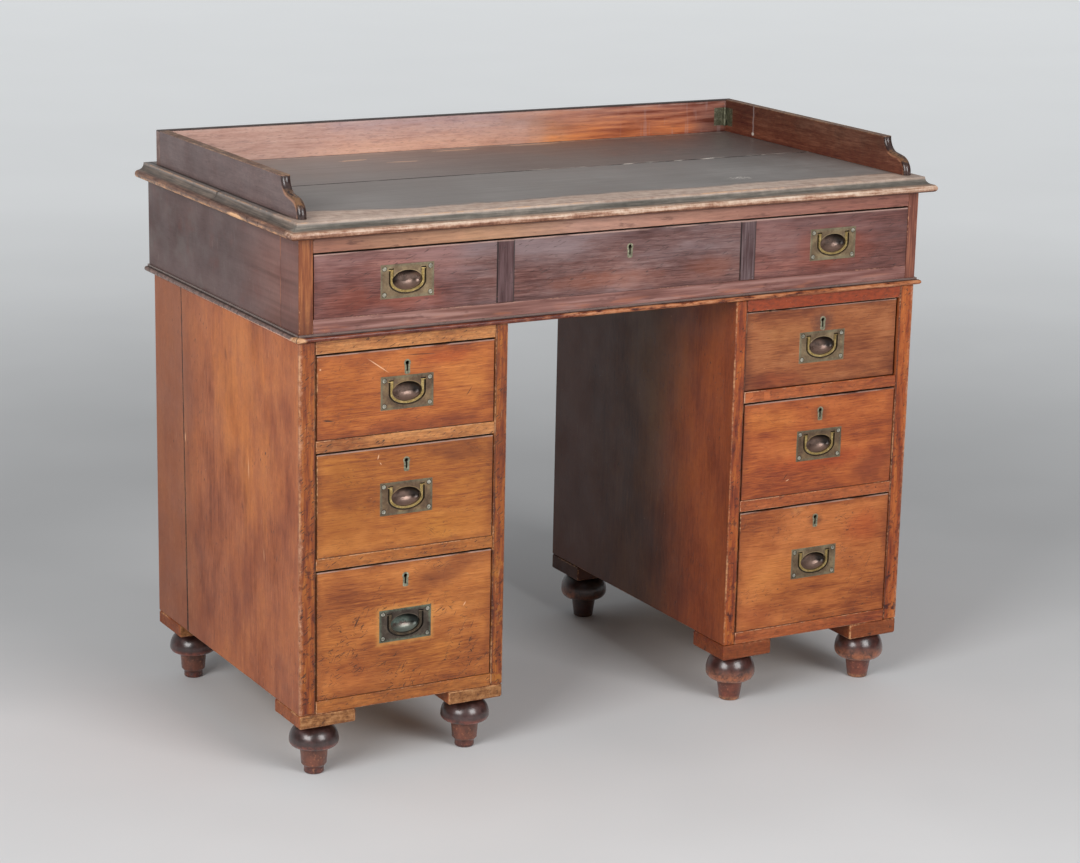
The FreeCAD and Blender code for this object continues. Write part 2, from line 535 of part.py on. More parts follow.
def ogee_side(s):
    # double curve at the front end: hollow above, round below
    y0, z0 = YF + GAL_FRONT, DESK_Z + GAL_LIFT
    ra, run, th = 26.0, 14.5, math.radians(80.0)
    rise = 2.0
    def pt(y, z):
        return (s * GAL_X, y, z)
    a0 = (y0, z0 + rise)
    a1 = (y0 + ra - ra * math.cos(th / 2), z0 + rise + ra * math.sin(th / 2))
    a2 = (y0 + ra - ra * math.cos(th), z0 + rise + ra * math.sin(th))
    b0 = (a2[0] + run * math.sin(th), a2[1] + run * math.cos(th))
    zc = GALLERY_Z
    rb = (zc - b0[1]) / math.sin(th)
    yc = b0[0] - rb * math.cos(th)
    b1 = (yc + rb * math.cos(th / 2), zc - rb * math.sin(th / 2))
    b2 = (yc + rb, zc)
    yend = gy0 - 0.3
    edges = [line(pt(y0, z0), pt(*a0)), arc(pt(*a0), pt(*a1), pt(*a2)), line(pt(*a2), pt(*b0)),
             arc(pt(*b0), pt(*b1), pt(*b2)), line(pt(*b2), pt(yend, zc)), line(pt(yend, zc), pt(yend, z0)),
             line(pt(yend, z0), pt(y0, z0))]
    return Part.Face(Part.Wire(edges)).extrude(V(-s * GAL_T, 0, 0))


for s, side in ((-1, "left"), (1, "right")):
    leaf, leaf_s = moving[s]
    save("gallery_%s_board" % side, [ogee_side(s).cut(leaf_s)])
    save("gallery_hinge_%s_leaf" % side, [leaf])

print(len(NODES), "nodes,", sum(NODES.values()), "solids")
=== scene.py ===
import json
import math
import bpy
import bmesh
from mathutils import Matrix, Vector, noise as mnoise


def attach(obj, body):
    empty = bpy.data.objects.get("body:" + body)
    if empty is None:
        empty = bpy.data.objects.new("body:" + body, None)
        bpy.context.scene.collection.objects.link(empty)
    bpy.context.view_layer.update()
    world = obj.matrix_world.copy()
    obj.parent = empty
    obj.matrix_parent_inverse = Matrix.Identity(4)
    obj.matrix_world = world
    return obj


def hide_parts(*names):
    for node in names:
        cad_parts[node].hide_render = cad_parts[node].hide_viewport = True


# Campaign desk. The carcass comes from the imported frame; here its boards get
# worn arrises and every surface gets its finish. Shader coordinates are in
# millimetres in the desk's own frame: front plane y = -264, floor z = 0.

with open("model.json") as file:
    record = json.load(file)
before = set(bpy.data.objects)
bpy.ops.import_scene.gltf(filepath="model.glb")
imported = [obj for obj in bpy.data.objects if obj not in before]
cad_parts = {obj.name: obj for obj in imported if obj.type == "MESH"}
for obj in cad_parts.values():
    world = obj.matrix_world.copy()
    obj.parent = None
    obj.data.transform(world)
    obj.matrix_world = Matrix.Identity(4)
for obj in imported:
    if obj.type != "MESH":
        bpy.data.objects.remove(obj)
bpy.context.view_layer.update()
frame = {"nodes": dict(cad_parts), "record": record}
NODES = frame["nodes"]
RECORD = frame["record"]
BODY = {n: b for b, ns in RECORD["behaviour"]["bodies"].items() for n in ns}
YF = -264.0


# --------------------------------------------------------------- node helpers
def rgb(r, g, b):
    def f(v):
        v /= 255.0
        return v / 12.92 if v <= 0.04045 else ((v + 0.055) / 1.055) ** 2.4
    return (f(r), f(g), f(b), 1.0)


class Val:
    """A node socket with arithmetic."""

    def __init__(self, g, s):
        self.g, self.s = g, s

    def __add__(self, o): return self.g.m("ADD", self, o)
    def __radd__(self, o): return self.g.m("ADD", self, o)
    def __sub__(self, o): return self.g.m("SUBTRACT", self, o)
    def __rsub__(self, o): return self.g.m("SUBTRACT", o, self)
    def __mul__(self, o): return self.g.m("MULTIPLY", self, o)
    def __rmul__(self, o): return self.g.m("MULTIPLY", self, o)
    def __truediv__(self, o): return self.g.m("DIVIDE", self, o)
    def abs(self): return self.g.m("ABSOLUTE", self)
    def max(self, o): return self.g.m("MAXIMUM", self, o)
    def min(self, o): return self.g.m("MINIMUM", self, o)
    def pow(self, o): return self.g.m("POWER", self, o)

    def sm(self, a, b):
        """0 at a, 1 at b, smooth between."""
        return self.g.maprange(self, a, b, 0.0, 1.0, "SMOOTHSTEP")

    def lin(self, a, b, c=0.0, d=1.0):
        return self.g.maprange(self, a, b, c, d, "LINEAR")


class Graph:
    """One procedural material, built from nodes."""

    def __init__(self, name):
        self.mat = bpy.data.materials.new(name)
        self.mat.use_nodes = True
        self.t = self.mat.node_tree
        self.t.nodes.clear()
        out = self.t.nodes.new("ShaderNodeOutputMaterial")
        self.b = self.t.nodes.new("ShaderNodeBsdfPrincipled")
        self.t.links.new(self.b.outputs[0], out.inputs[0])
        self.tc = tc = self.t.nodes.new("ShaderNodeTexCoord")
        self.P = self.vm("SCALE", Val(self, tc.outputs["Object"]), scale=1000.0)
        sep = self.t.nodes.new("ShaderNodeSeparateXYZ")
        self.put(sep.inputs[0], self.P)
        self.x, self.y, self.z = [Val(self, sep.outputs[i]) for i in range(3)]
        self._normal = None

    def put(self, sock, v):
        if isinstance(v, Val):
            self.t.links.new(v.s, sock)
        else:
            sock.default_value = v

    def m(self, op, a, b=None):
        n = self.t.nodes.new("ShaderNodeMath")
        n.operation = op
        self.put(n.inputs[0], a)
        if b is not None:
            self.put(n.inputs[1], b)
        return Val(self, n.outputs[0])

    def vm(self, op, a, b=None, c=None, scale=None):
        n = self.t.nodes.new("ShaderNodeVectorMath")
        n.operation = op
        self.put(n.inputs[0], a)
        if b is not None:
            self.put(n.inputs[1], b)
        if c is not None:
            self.put(n.inputs[2], c)
        if scale is not None:
            self.put(n.inputs["Scale"], scale)
        return Val(self, n.outputs["Value" if op in ("LENGTH", "DOT_PRODUCT", "DISTANCE") else "Vector"])

    def maprange(self, v, a, b, c, d, kind):
        n = self.t.nodes.new("ShaderNodeMapRange")
        n.interpolation_type = kind
        n.clamp = True
        for i, k in enumerate((v, a, b, c, d)):
            self.put(n.inputs[i], k)
        return Val(self, n.outputs[0])

    def noise(self, vec, detail=2.0, rough=0.5, dist=0.0, colour=False):
        n = self.t.nodes.new("ShaderNodeTexNoise")
        self.put(n.inputs["Vector"], vec)
        n.inputs["Scale"].default_value = 1.0
        n.inputs["Detail"].default_value = detail
        n.inputs["Roughness"].default_value = rough
        n.inputs["Distortion"].default_value = dist
        return Val(self, n.outputs["Color" if colour else "Fac"])

    def voronoi(self, vec, feature="F1", out="Distance", randomness=1.0):
        n = self.t.nodes.new("ShaderNodeTexVoronoi")
        n.feature = feature
        self.put(n.inputs["Vector"], vec)
        n.inputs["Scale"].default_value = 1.0
        n.inputs["Randomness"].default_value = randomness
        return Val(self, n.outputs[out])

    def st(self, axis, along, across, seed=0.0, vec=None):
        """Coordinates stretched along one axis; along and across in mm."""
        s = [1.0 / across] * 3
        s["xyz".index(axis)] = 1.0 / along
        off = (seed * 3.17 % 41.0, seed * 7.31 % 37.0, seed * 5.53 % 43.0)
        return self.vm("MULTIPLY_ADD", vec or self.P, tuple(s), off)

    def sc(self, mm, seed=0.0, vec=None):
        off = (seed * 3.17 % 41.0, seed * 7.31 % 37.0, seed * 5.53 % 43.0)
        return self.vm("MULTIPLY_ADD", vec or self.P, (1.0 / mm,) * 3, off)

    def rot(self, axis, deg, vec=None):
        n = self.t.nodes.new("ShaderNodeVectorRotate")
        n.rotation_type = {"x": "X_AXIS", "y": "Y_AXIS", "z": "Z_AXIS"}[axis]
        self.put(n.inputs["Vector"], vec or self.P)
        n.inputs["Angle"].default_value = math.radians(deg)
        return Val(self, n.outputs[0])

    def uv(self, u, v):
        n = self.t.nodes.new("ShaderNodeCombineXYZ")
        self.put(n.inputs[0], u)
        self.put(n.inputs[1], v)
        return Val(self, n.outputs[0])

    def ell(self, uv, cu, cv, ru, rv, deg=0.0):
        """Distance from an ellipse's centre, 1 on its outline."""
        p = self.vm("SUBTRACT", uv, (cu, cv, 0.0))
        if deg:
            p = self.rot("z", -deg, p)
        return self.vm("LENGTH", self.vm("MULTIPLY", p, (1.0 / ru, 1.0 / rv, 0.0)))

    def marks(self, uv, items, soft=0.35):
        """Mask of small ellipses (u, v, half length, half width, angle)."""
        out = None
        for it in items:
            k = self.ell(uv, *it).sm(1.0, soft)
            out = k if out is None else out.max(k)
        return out

    def mix(self, fac, a, b, kind="MIX"):
        n = self.t.nodes.new("ShaderNodeMix")
        n.data_type = "RGBA"
        n.blend_type = kind
        n.clamp_factor = True
        self.put(n.inputs[0], fac)
        self.put(n.inputs[6], a)
        self.put(n.inputs[7], b)
        return Val(self, n.outputs[2])

    def shade(self, col, k):
        """Colour times a number."""
        return self.vm("SCALE", col, scale=k)

    def ramp(self, fac, stops, kind="LINEAR"):
        n = self.t.nodes.new("ShaderNodeValToRGB")
        r = n.color_ramp
        r.interpolation = kind
        while len(r.elements) < len(stops):
            r.elements.new(0.5)
        for e, (p, c) in zip(r.elements, stops):
            e.position, e.color = p, c
        self.put(n.inputs[0], fac)
        return Val(self, n.outputs[0])

    def normal(self):
        if self._normal is None:
            self._normal = self.t.nodes.new("ShaderNodeNewGeometry")
        return Val(self, self._normal.outputs["Normal"])

    def nxyz(self):
        """The surface direction in the piece's own frame."""
        sep = self.t.nodes.new("ShaderNodeSeparateXYZ")
        self.put(sep.inputs[0], Val(self, self.tc.outputs["Normal"]))
        return [Val(self, sep.outputs[i]) for i in range(3)]

    def edge(self, mm, samples=4):
        """1 on an arris, falling to 0 at the given distance from it."""
        n = self.t.nodes.new("ShaderNodeBevel")
        n.samples = samples
        n.inputs["Radius"].default_value = mm / 1000.0
        d = self.vm("DOT_PRODUCT", Val(self, n.outputs[0]), self.normal())
        return (1.0 - d).lin(0.012, 0.22)

    def attr(self, name):
        n = self.t.nodes.new("ShaderNodeAttribute")
        n.attribute_name = name
        return Val(self, n.outputs["Fac"])

    def done(self, col, rough, height=None, spec=0.5, metal=None, coat=0.0, coat_rough=0.2, dist=1.0):
        self.put(self.b.inputs["Base Color"], col)
        self.put(self.b.inputs["Roughness"], rough)
        self.b.inputs["Specular IOR Level"].default_value = spec
        if metal is not None:
            self.put(self.b.inputs["Metallic"], metal)
        if coat:
            self.b.inputs["Coat Weight"].default_value = coat
            self.b.inputs["Coat Roughness"].default_value = coat_rough
        if height is not None:
            n = self.t.nodes.new("ShaderNodeBump")
            n.inputs["Strength"].default_value = 1.0
            n.inputs["Distance"].default_value = dist / 1000.0
            self.put(n.inputs["Height"], height)
            self.t.links.new(n.outputs[0], self.b.inputs["Normal"])
        return self.mat


# ------------------------------------------------------------ wood and finish
E_FRONT, E_LEFT, E_TOP = 1.06, 0.78, 0.80


def tone(r, g, b, e=E_FRONT, s=0.022):
    """Surface colour that reads as the given colour under the studio light."""
    return tuple(min(0.95, max(0.004, (c - s) / e)) for c in rgb(r, g, b)[:3]) + (1.0,)


def trio(r, g, b, e=E_FRONT, k=1.0):
    """Dark, middle and light tone of one wood."""
    return (tone(r * (1 - 0.24 * k), g * (1 - 0.32 * k), b * (1 - 0.36 * k), e), tone(r, g, b, e),
            tone(min(250, r * (1 + 0.13 * k)), g * (1 + 0.2 * k), b * (1 + 0.26 * k), e))


def g_scale(c, k):
    return (min(1.0, c[0] * k), min(1.0, c[1] * k), min(1.0, c[2] * k), 1.0)


def wood(g, axis, seed, dark, mid, light, fig=5.0, fib=1.5, warp=4.0, spread=0.15, mix=(0.28, 0.30, 0.42)):
    """Grain along an axis: colour, surface height in mm, and the pore mask."""
    wob = g.vm("SUBTRACT", g.noise(g.sc(170.0, seed + 9), 1.0, colour=True), (0.5, 0.5, 0.5))
    q = g.vm("MULTIPLY_ADD", wob, (2.0 * warp,) * 3, g.P)
    f1 = g.noise(g.st(axis, 42.0 * fig, fig, seed + 1, q), 3.0, 0.58)
    f2 = g.noise(g.st(axis, 21.0, fib, seed + 2, q), 2.0, 0.6)
    f3 = g.noise(g.st(axis, 130.0, 58.0, seed + 3), 3.0, 0.55)
    t = f1 * mix[0] + f2 * mix[1] + f3 * mix[2]
    col = g.ramp(t, [(0.5 - spread, dark), (0.5, mid), (0.5 + spread, light)])
    pore = g.noise(g.st(axis, 9.0, 1.05, seed + 4), 1.0).sm(0.60, 0.72)
    col = g.shade(col, 1.0 - pore * 0.26)
    h = f2 * 0.04 - pore * 0.05
    return col, h, pore, f1, f3


def times(g, col, k):
    return g.vm("MULTIPLY", col, k)


def worn(g, col, pale, mm=3.5, seed=0.0, amount=0.5, grain=5.0, arris=True):
    """Pale rubbed arrises, broken up; returns colour and the mask."""
    e = g.edge(mm)
    if arris:
        e = e.max(g.attr("arris") * 0.9)
    n = g.noise(g.sc(grain, seed + 21), 4.0, 0.65)
    n2 = g.noise(g.sc(70.0, seed + 22), 2.0)
    k = (e * 0.9 + (n - 0.5) * 1.6 + (n2 - 0.5) * 1.4 + (amount - 0.9)).sm(0.0, 0.45)
    k = k * e.sm(0.02, 0.3)
    return g.mix(k * 0.8, col, pale), k


def dashes(g, axis, plane, length, width, lo, hi, seed, deg):
    """Scattered short knocks lying at an angle in a plane normal to an axis."""
    v = g.rot(plane, deg)
    return g.noise(g.st(axis, length, width, seed, v), 0.6, 0.4).sm(lo, hi)


def specks(g, mm, size, seed, share=0.25):
    """Small round specks, some of the cells only."""
    v = g.sc(mm, seed)
    d = g.voronoi(v)
    keep = g.m("FRACT", g.noise(g.sc(mm * 0.9, seed + 5), 0.0) * 37.0).sm(1.0 - share, 1.0 - share + 0.02)
    return d.sm(size, size * 0.4) * keep


PALE = tone(214, 168, 124)
INK_AND_SHADE = rgb(40, 22, 16)
SHADE_BLACK = rgb(14, 9, 7)


def front_finish(name, cx, w, z0, z1, hz, kz, seed, target, dents=0.5, pale=(), ink=(), halo=None, key=None, patches=(), dy=0.0, cloud=0.75, grime=0.72):
    """A pedestal drawer front: grain across, knocks, scratches, grimy edges, painted shade along the gaps and a painted
    highlight on the top arris.
    """
    g = Graph(name)
    front = YF + dy
    col, h, pore, f1, f3 = wood(g, "x", seed, *trio(*target), fig=3.2, fib=1.2, mix=(0.22, 0.30, 0.48), spread=0.115)
    uv = g.uv(g.x - cx, g.z)
    c1 = g.noise(g.st("x", 95.0, 56.0, seed + 30), 3.0, 0.6)
    col = g.mix(c1.sm(0.50, 0.70) * cloud, col, times(g, col, (0.68, 0.56, 0.48)))
    c2 = g.noise(g.st("x", 84.0, 50.0, seed + 32), 2.0, 0.5)
    col = g.mix(c2.sm(0.52, 0.70) * 0.5, col, times(g, col, (1.14, 1.26, 1.2)))
    for cu, cv, ru, rv, deg, k in patches:
        d = g.ell(uv, cu, cv, ru, rv, deg)
        d = d + (g.noise(g.sc(30.0, seed + 44), 3.0) - 0.5) * 0.9
        col = g.mix(d.sm(1.1, 0.25), col, times(g, col, k))
    if halo:
        d = ((g.x - cx).abs() - 40.2).max((g.z - hz).abs() - 23.5)
        n = g.noise(g.sc(9.0, seed + 41), 3.0)
        col = g.mix((d + (n - 0.5) * 9.0).sm(halo[1], 0.0) * halo[2], col, halo[0])
    if key:
        d = g.ell(uv, 0.0, kz, key[1], key[1] * 0.9)
        n = g.noise(g.sc(8.0, seed + 42), 3.0)
        col = g.mix((d + (n - 0.5) * 0.9).sm(1.15, 0.2) * key[2], col, key[0])
    # knocks and small dark scratches, in clusters
    where = g.noise(g.sc(55.0, seed + 50), 2.0).sm(0.40, 0.60)
    k1 = dashes(g, "x", "y", 12.0, 1.5, 0.69, 0.77, seed + 51, 24.0)
    k2 = dashes(g, "x", "y", 9.0, 1.3, 0.70, 0.78, seed + 52, -42.0)
    k3 = dashes(g, "x", "y", 6.0, 2.2, 0.71, 0.79, seed + 53, 8.0)
    k4 = dashes(g, "x", "y", 14.0, 1.2, 0.71, 0.79, seed + 54, 62.0)
    knock = k1.max(k2).max(k3).max(k4) * where * dents
    col = g.mix(knock * 0.9, col, INK_AND_SHADE)
    dot = specks(g, 11.0, 0.085, seed + 56, 0.22)
    col = g.mix(dot * dents * 0.75, col, INK_AND_SHADE)
    fine = dashes(g, "x", "y", 30.0, 0.8, 0.66, 0.76, seed + 57, 3.0)
    col = g.mix(fine * 0.16, col, times(g, col, (1.5, 1.6, 1.6)))
    sp = specks(g, 17.0, 0.05, seed + 55, 0.2)
    col = g.mix(sp * 0.75, col, PALE)
    # grime works in from the edges, worst in the corners
    ex = (w - (g.x - cx).abs())
    ez = (g.z - z0).min(z1 - g.z)
    rn = g.noise(g.sc(34.0, seed + 60), 3.0, 0.6)
    gr = ((ex.min(ez * 1.5)) + (rn - 0.5) * 44.0).sm(17.0, -2.0)
    col = g.mix(gr * grime, col, times(g, col, (0.62, 0.49, 0.42)))
    # painted shade: a dark line round the very edge of the face, so the gaps read wider and darker
    per = (ex.min(ez) + (g.noise(g.sc(5.0, seed + 62), 3.0, 0.6) - 0.5) * 3.0).sm(2.0, 0.4)
    col = g.mix(per * 0.6, col, INK_AND_SHADE)
    if ink:
        k = g.marks(uv, ink)
        col = g.mix(k * 0.8, col, INK_AND_SHADE)
        knock = knock.max(k)
    if pale:
        col = g.mix(g.marks(uv, pale) * 0.8, col, tone(232, 190, 154))
    col, k = worn(g, col, PALE, 1.6, seed, 0.0, 5.0)
    # painted highlight: a pale broken line along the top arris, standing in for the light's sheen on it
    tn = g.noise(g.st("x", 40.0, 6.0, seed + 61), 3.0)
    col = g.mix((z1 - g.z).sm(2.0, 0.5) * tn.sm(0.34, 0.52) * 0.7, col, tone(196, 166, 152))
    # painted shade: the sides of the board and the inside of the keyhole are painted near black, standing in for the
    # dark of the gap and the hole
    yy = g.y - front
    col = g.mix(yy.sm(1.4, 3.6) * yy.sm(17.0, 13.0) * 0.9, col, SHADE_BLACK)
    col = g.mix(g.ell(uv, 0.0, kz, 6.5, 12.0).sm(1.0, 0.9) * yy.sm(0.5, 1.2), col, SHADE_BLACK)
    rough = g.noise(g.sc(45.0, seed + 70), 3.0).lin(0.3, 0.7, 0.32, 0.48) + knock * 0.2 + k * 0.1
    h = h - knock * 0.25 + g.noise(g.sc(55.0, seed + 71), 1.0) * 0.4
    return g.done(col, rough, h)


# ------------------------------------------------------------------ the pieces
def rebuilt(node, width=1.2, where=None, seg=2, split=24.0, wobble=0.35, angle=35.0, only_box=True, clamp=True):
    """The node's own boards with their arrises rubbed round. The middle line of
    each rounded arris wanders a little, as it does on a hand-worn edge."""
    src = NODES[node]
    bm = bmesh.new()
    bm.from_mesh(src.data)
    bmesh.ops.remove_doubles(bm, verts=bm.verts, dist=2e-6)
    bmesh.ops.dissolve_limit(bm, angle_limit=math.radians(0.5), use_dissolve_boundaries=False,
                             verts=bm.verts[:], edges=bm.edges[:], delimit=set())
    bm.normal_update()
    todo, islands = set(bm.verts), []
    while todo:
        grow, isl = [todo.pop()], []
        while grow:
            v = grow.pop()
            isl.append(v)
            for e in v.link_edges:
                o = e.other_vert(v)
                if o in todo:
                    todo.remove(o)
                    grow.append(o)
        islands.append(isl)
    picked = []
    for isl in islands:
        lo = Vector((min(v.co[i] for v in isl) for i in range(3)))
        hi = Vector((max(v.co[i] for v in isl) for i in range(3)))
        seen = set()
        for v in isl:
            for e in v.link_edges:
                if e in seen or len(e.link_faces) != 2:
                    continue
                seen.add(e)
                if e.calc_face_angle(0.0) < math.radians(angle) or not e.is_convex:
                    continue
                a, b = e.verts[0].co, e.verts[1].co
                if only_box:
                    on = sum(1 for i in range(3) if (abs(a[i] - lo[i]) < 2e-5 and abs(b[i] - lo[i]) < 2e-5)
                             or (abs(a[i] - hi[i]) < 2e-5 and abs(b[i] - hi[i]) < 2e-5))
                    if on < 2:
                        continue
                if where and not where(0.5e3 * (a + b), lo * 1e3, hi * 1e3, (b - a) * 1e3):
                    continue
                picked.append(e)
    pieces = []
    for e in picked:
        n = max(1, int(round(e.calc_length() * 1e3 / split)))
        cur = e
        for i in range(n, 1, -1):
            new, _ = bmesh.utils.edge_split(cur, cur.verts[0], 1.0 / i)
            pieces.append(new)
        pieces.append(cur)
    lay = bm.faces.layers.float.new("arris")
    if pieces:
        pieces = list(dict.fromkeys(pieces))
        made = bmesh.ops.bevel(bm, geom=pieces, offset=width / 1e3, offset_type="OFFSET", segments=seg,
                               profile=0.5, affect="EDGES", clamp_overlap=clamp, material=-1, loop_slide=True)
        bm.normal_update()
        faces = set(made["faces"])
        for f in faces:
            f[lay] = 1.0
        for v in made["verts"]:
            if v.is_valid and all(f in faces for f in v.link_faces):
                k = mnoise.noise(v.co * 31.0 + Vector((3.1, 1.7, 5.3))) * 0.5 + 0.5
                v.co -= v.normal * (k * wobble / 1e3)
    me = bpy.data.meshes.new(node + "_worn")
    bm.to_mesh(me)
    bm.free()
    me.shade_smooth()
    me.set_sharp_from_angle(angle=math.radians(40.0))
    ob = bpy.data.objects.new(node + "_worn", me)
    bpy.context.scene.collection.objects.link(ob)
    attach(ob, BODY[node])
    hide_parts(node)
    wn = ob.modifiers.new("weighted", "WEIGHTED_NORMAL")
    wn.keep_sharp = True
    wn.weight = 60
    return ob


def finish_of(ob, mat):
    if not ob.material_slots:
        ob.data.materials.append(mat)
    for s in ob.material_slots:
        s.material = mat
    return ob


def keep(node, mat):
    return finish_of(NODES[node], mat)


# -------------------------------------------------------- pedestal drawer fronts
LEVELS = {"top": (489.3, 606.5, 545.5), "middle": (323.3, 469.5, 396.0), "bottom": (118.3, 303.5, 212.5)}
DARKER, REDDER, GOLDEN = (0.60, 0.50, 0.46), (0.86, 0.62, 0.5), (1.12, 1.28, 1.12)
FRONTS = {
    "left_top": dict(target=(180, 104, 56), dents=0.45,
                     pale=[(-43.7, 585.5, 23.5, 0.95, -35.0), (-130.0, 588.0, 1.8, 1.8, 0.0)],
                     ink=[(-118.0, 516.0, 11.0, 1.9, -8.0), (96.0, 537.0, 10.0, 0.8, 55.0), (20.0, 596.0, 30.0, 0.9, -3.0)],
                     patches=[(10.0, 500.0, 130.0, 13.0, 2.0, (0.72, 0.6, 0.56)), (90.0, 545.0, 50.0, 34.0, 0.0, (1.04, 1.14, 1.16)), (-92.0, 545.0, 56.0, 60.0, 0.0, (0.87, 0.81, 0.56)), (60.0, 590.0, 60.0, 14.0, 0.0, REDDER)]),
    "left_middle": dict(target=(172, 104, 53), dents=0.5,
                        pale=[(-43.0, 457.5, 4.8, 1.1, 75.0), (-39.5, 448.0, 2.8, 0.9, -50.0)],
                        patches=[(90.0, 452.0, 80.0, 20.0, -6.0, DARKER), (-88.0, 396.0, 60.0, 76.0, 0.0, (0.80, 0.73, 0.48)), (60.0, 350.0, 70.0, 26.0, 0.0, (1.05, 1.1, 1.0))]),
    "left_bottom": dict(target=(182, 111, 60), dents=1.0, pale=[(93.0, 229.0, 4.5, 1.1, 55.0)],
                        halo=(tone(206, 148, 84), 7.0, 0.6),
                        patches=[(70.0, 282.0, 95.0, 20.0, 16.0, DARKER), (-100.0, 262.0, 46.0, 40.0, 30.0, (0.72, 0.62, 0.56)),
                                 (20.0, 165.0, 90.0, 30.0, 0.0, (1.08, 1.16, 1.05)), (-90.0, 150.0, 60.0, 30.0, 0.0, (0.8, 0.68, 0.6))]),
    "right_top": dict(target=(160, 98, 63), dents=0.3, key=(tone(92, 62, 56), 24.0, 0.75),
                      patches=[(20.0, 520.0, 90.0, 24.0, 0.0, (0.92, 0.84, 0.8)), (-80.0, 500.0, 60.0, 20.0, 0.0, REDDER), (-60.0, 570.0, 60.0, 22.0, 0.0, (1.04, 1.12, 1.1))]),
    "right_middle": dict(target=(176, 96, 54), dents=0.3, key=(tone(104, 62, 48), 18.0, 0.6),
                         ink=[(-58.0, 352.0, 9.0, 0.9, 52.0)], pale=[(-54.0, 346.0, 4.0, 1.0, 20.0)],
                         patches=[(96.0, 352.0, 46.0, 30.0, 20.0, (0.62, 0.5, 0.56)), (-90.0, 440.0, 60.0, 26.0, 0.0, GOLDEN), (0.0, 372.0, 110.0, 20.0, 0.0, REDDER)]),
    "right_bottom": dict(target=(181, 106, 60), dents=0.75, key=(tone(96, 56, 42), 15.0, 0.6),
                         patches=[(-40.0, 190.0, 110.0, 60.0, 0.0, (1.04, 1.09, 1.0)), (-32.0, 297.5, 15.0, 6.0, 0.0, (1.1, 1.3, 1.6)), (90.0, 260.0, 46.0, 36.0, 0.0, REDDER), (-100.0, 140.0, 50.0, 24.0, 0.0, (0.76, 0.62, 0.56))]),
}
for i, (key, d) in enumerate(FRONTS.items()):
    side, level = key.split("_")
    z0, z1, hz = LEVELS[level]
    cx = -344.0 if side == "left" else 344.0
    mat = front_finish("mahogany_" + key + "_drawer", cx, 135.0, z0, z1, hz, z1 - 26.0, 3.0 + 11.0 * i,
                       dy=4.0 if key == "right_top" else 0.0, **d)
    ob = rebuilt("%s_%s_drawer_front" % (side, level), 1.3,
                 lambda c, lo, hi, e: c.y < YF + 14.0)
    finish_of(ob, mat)


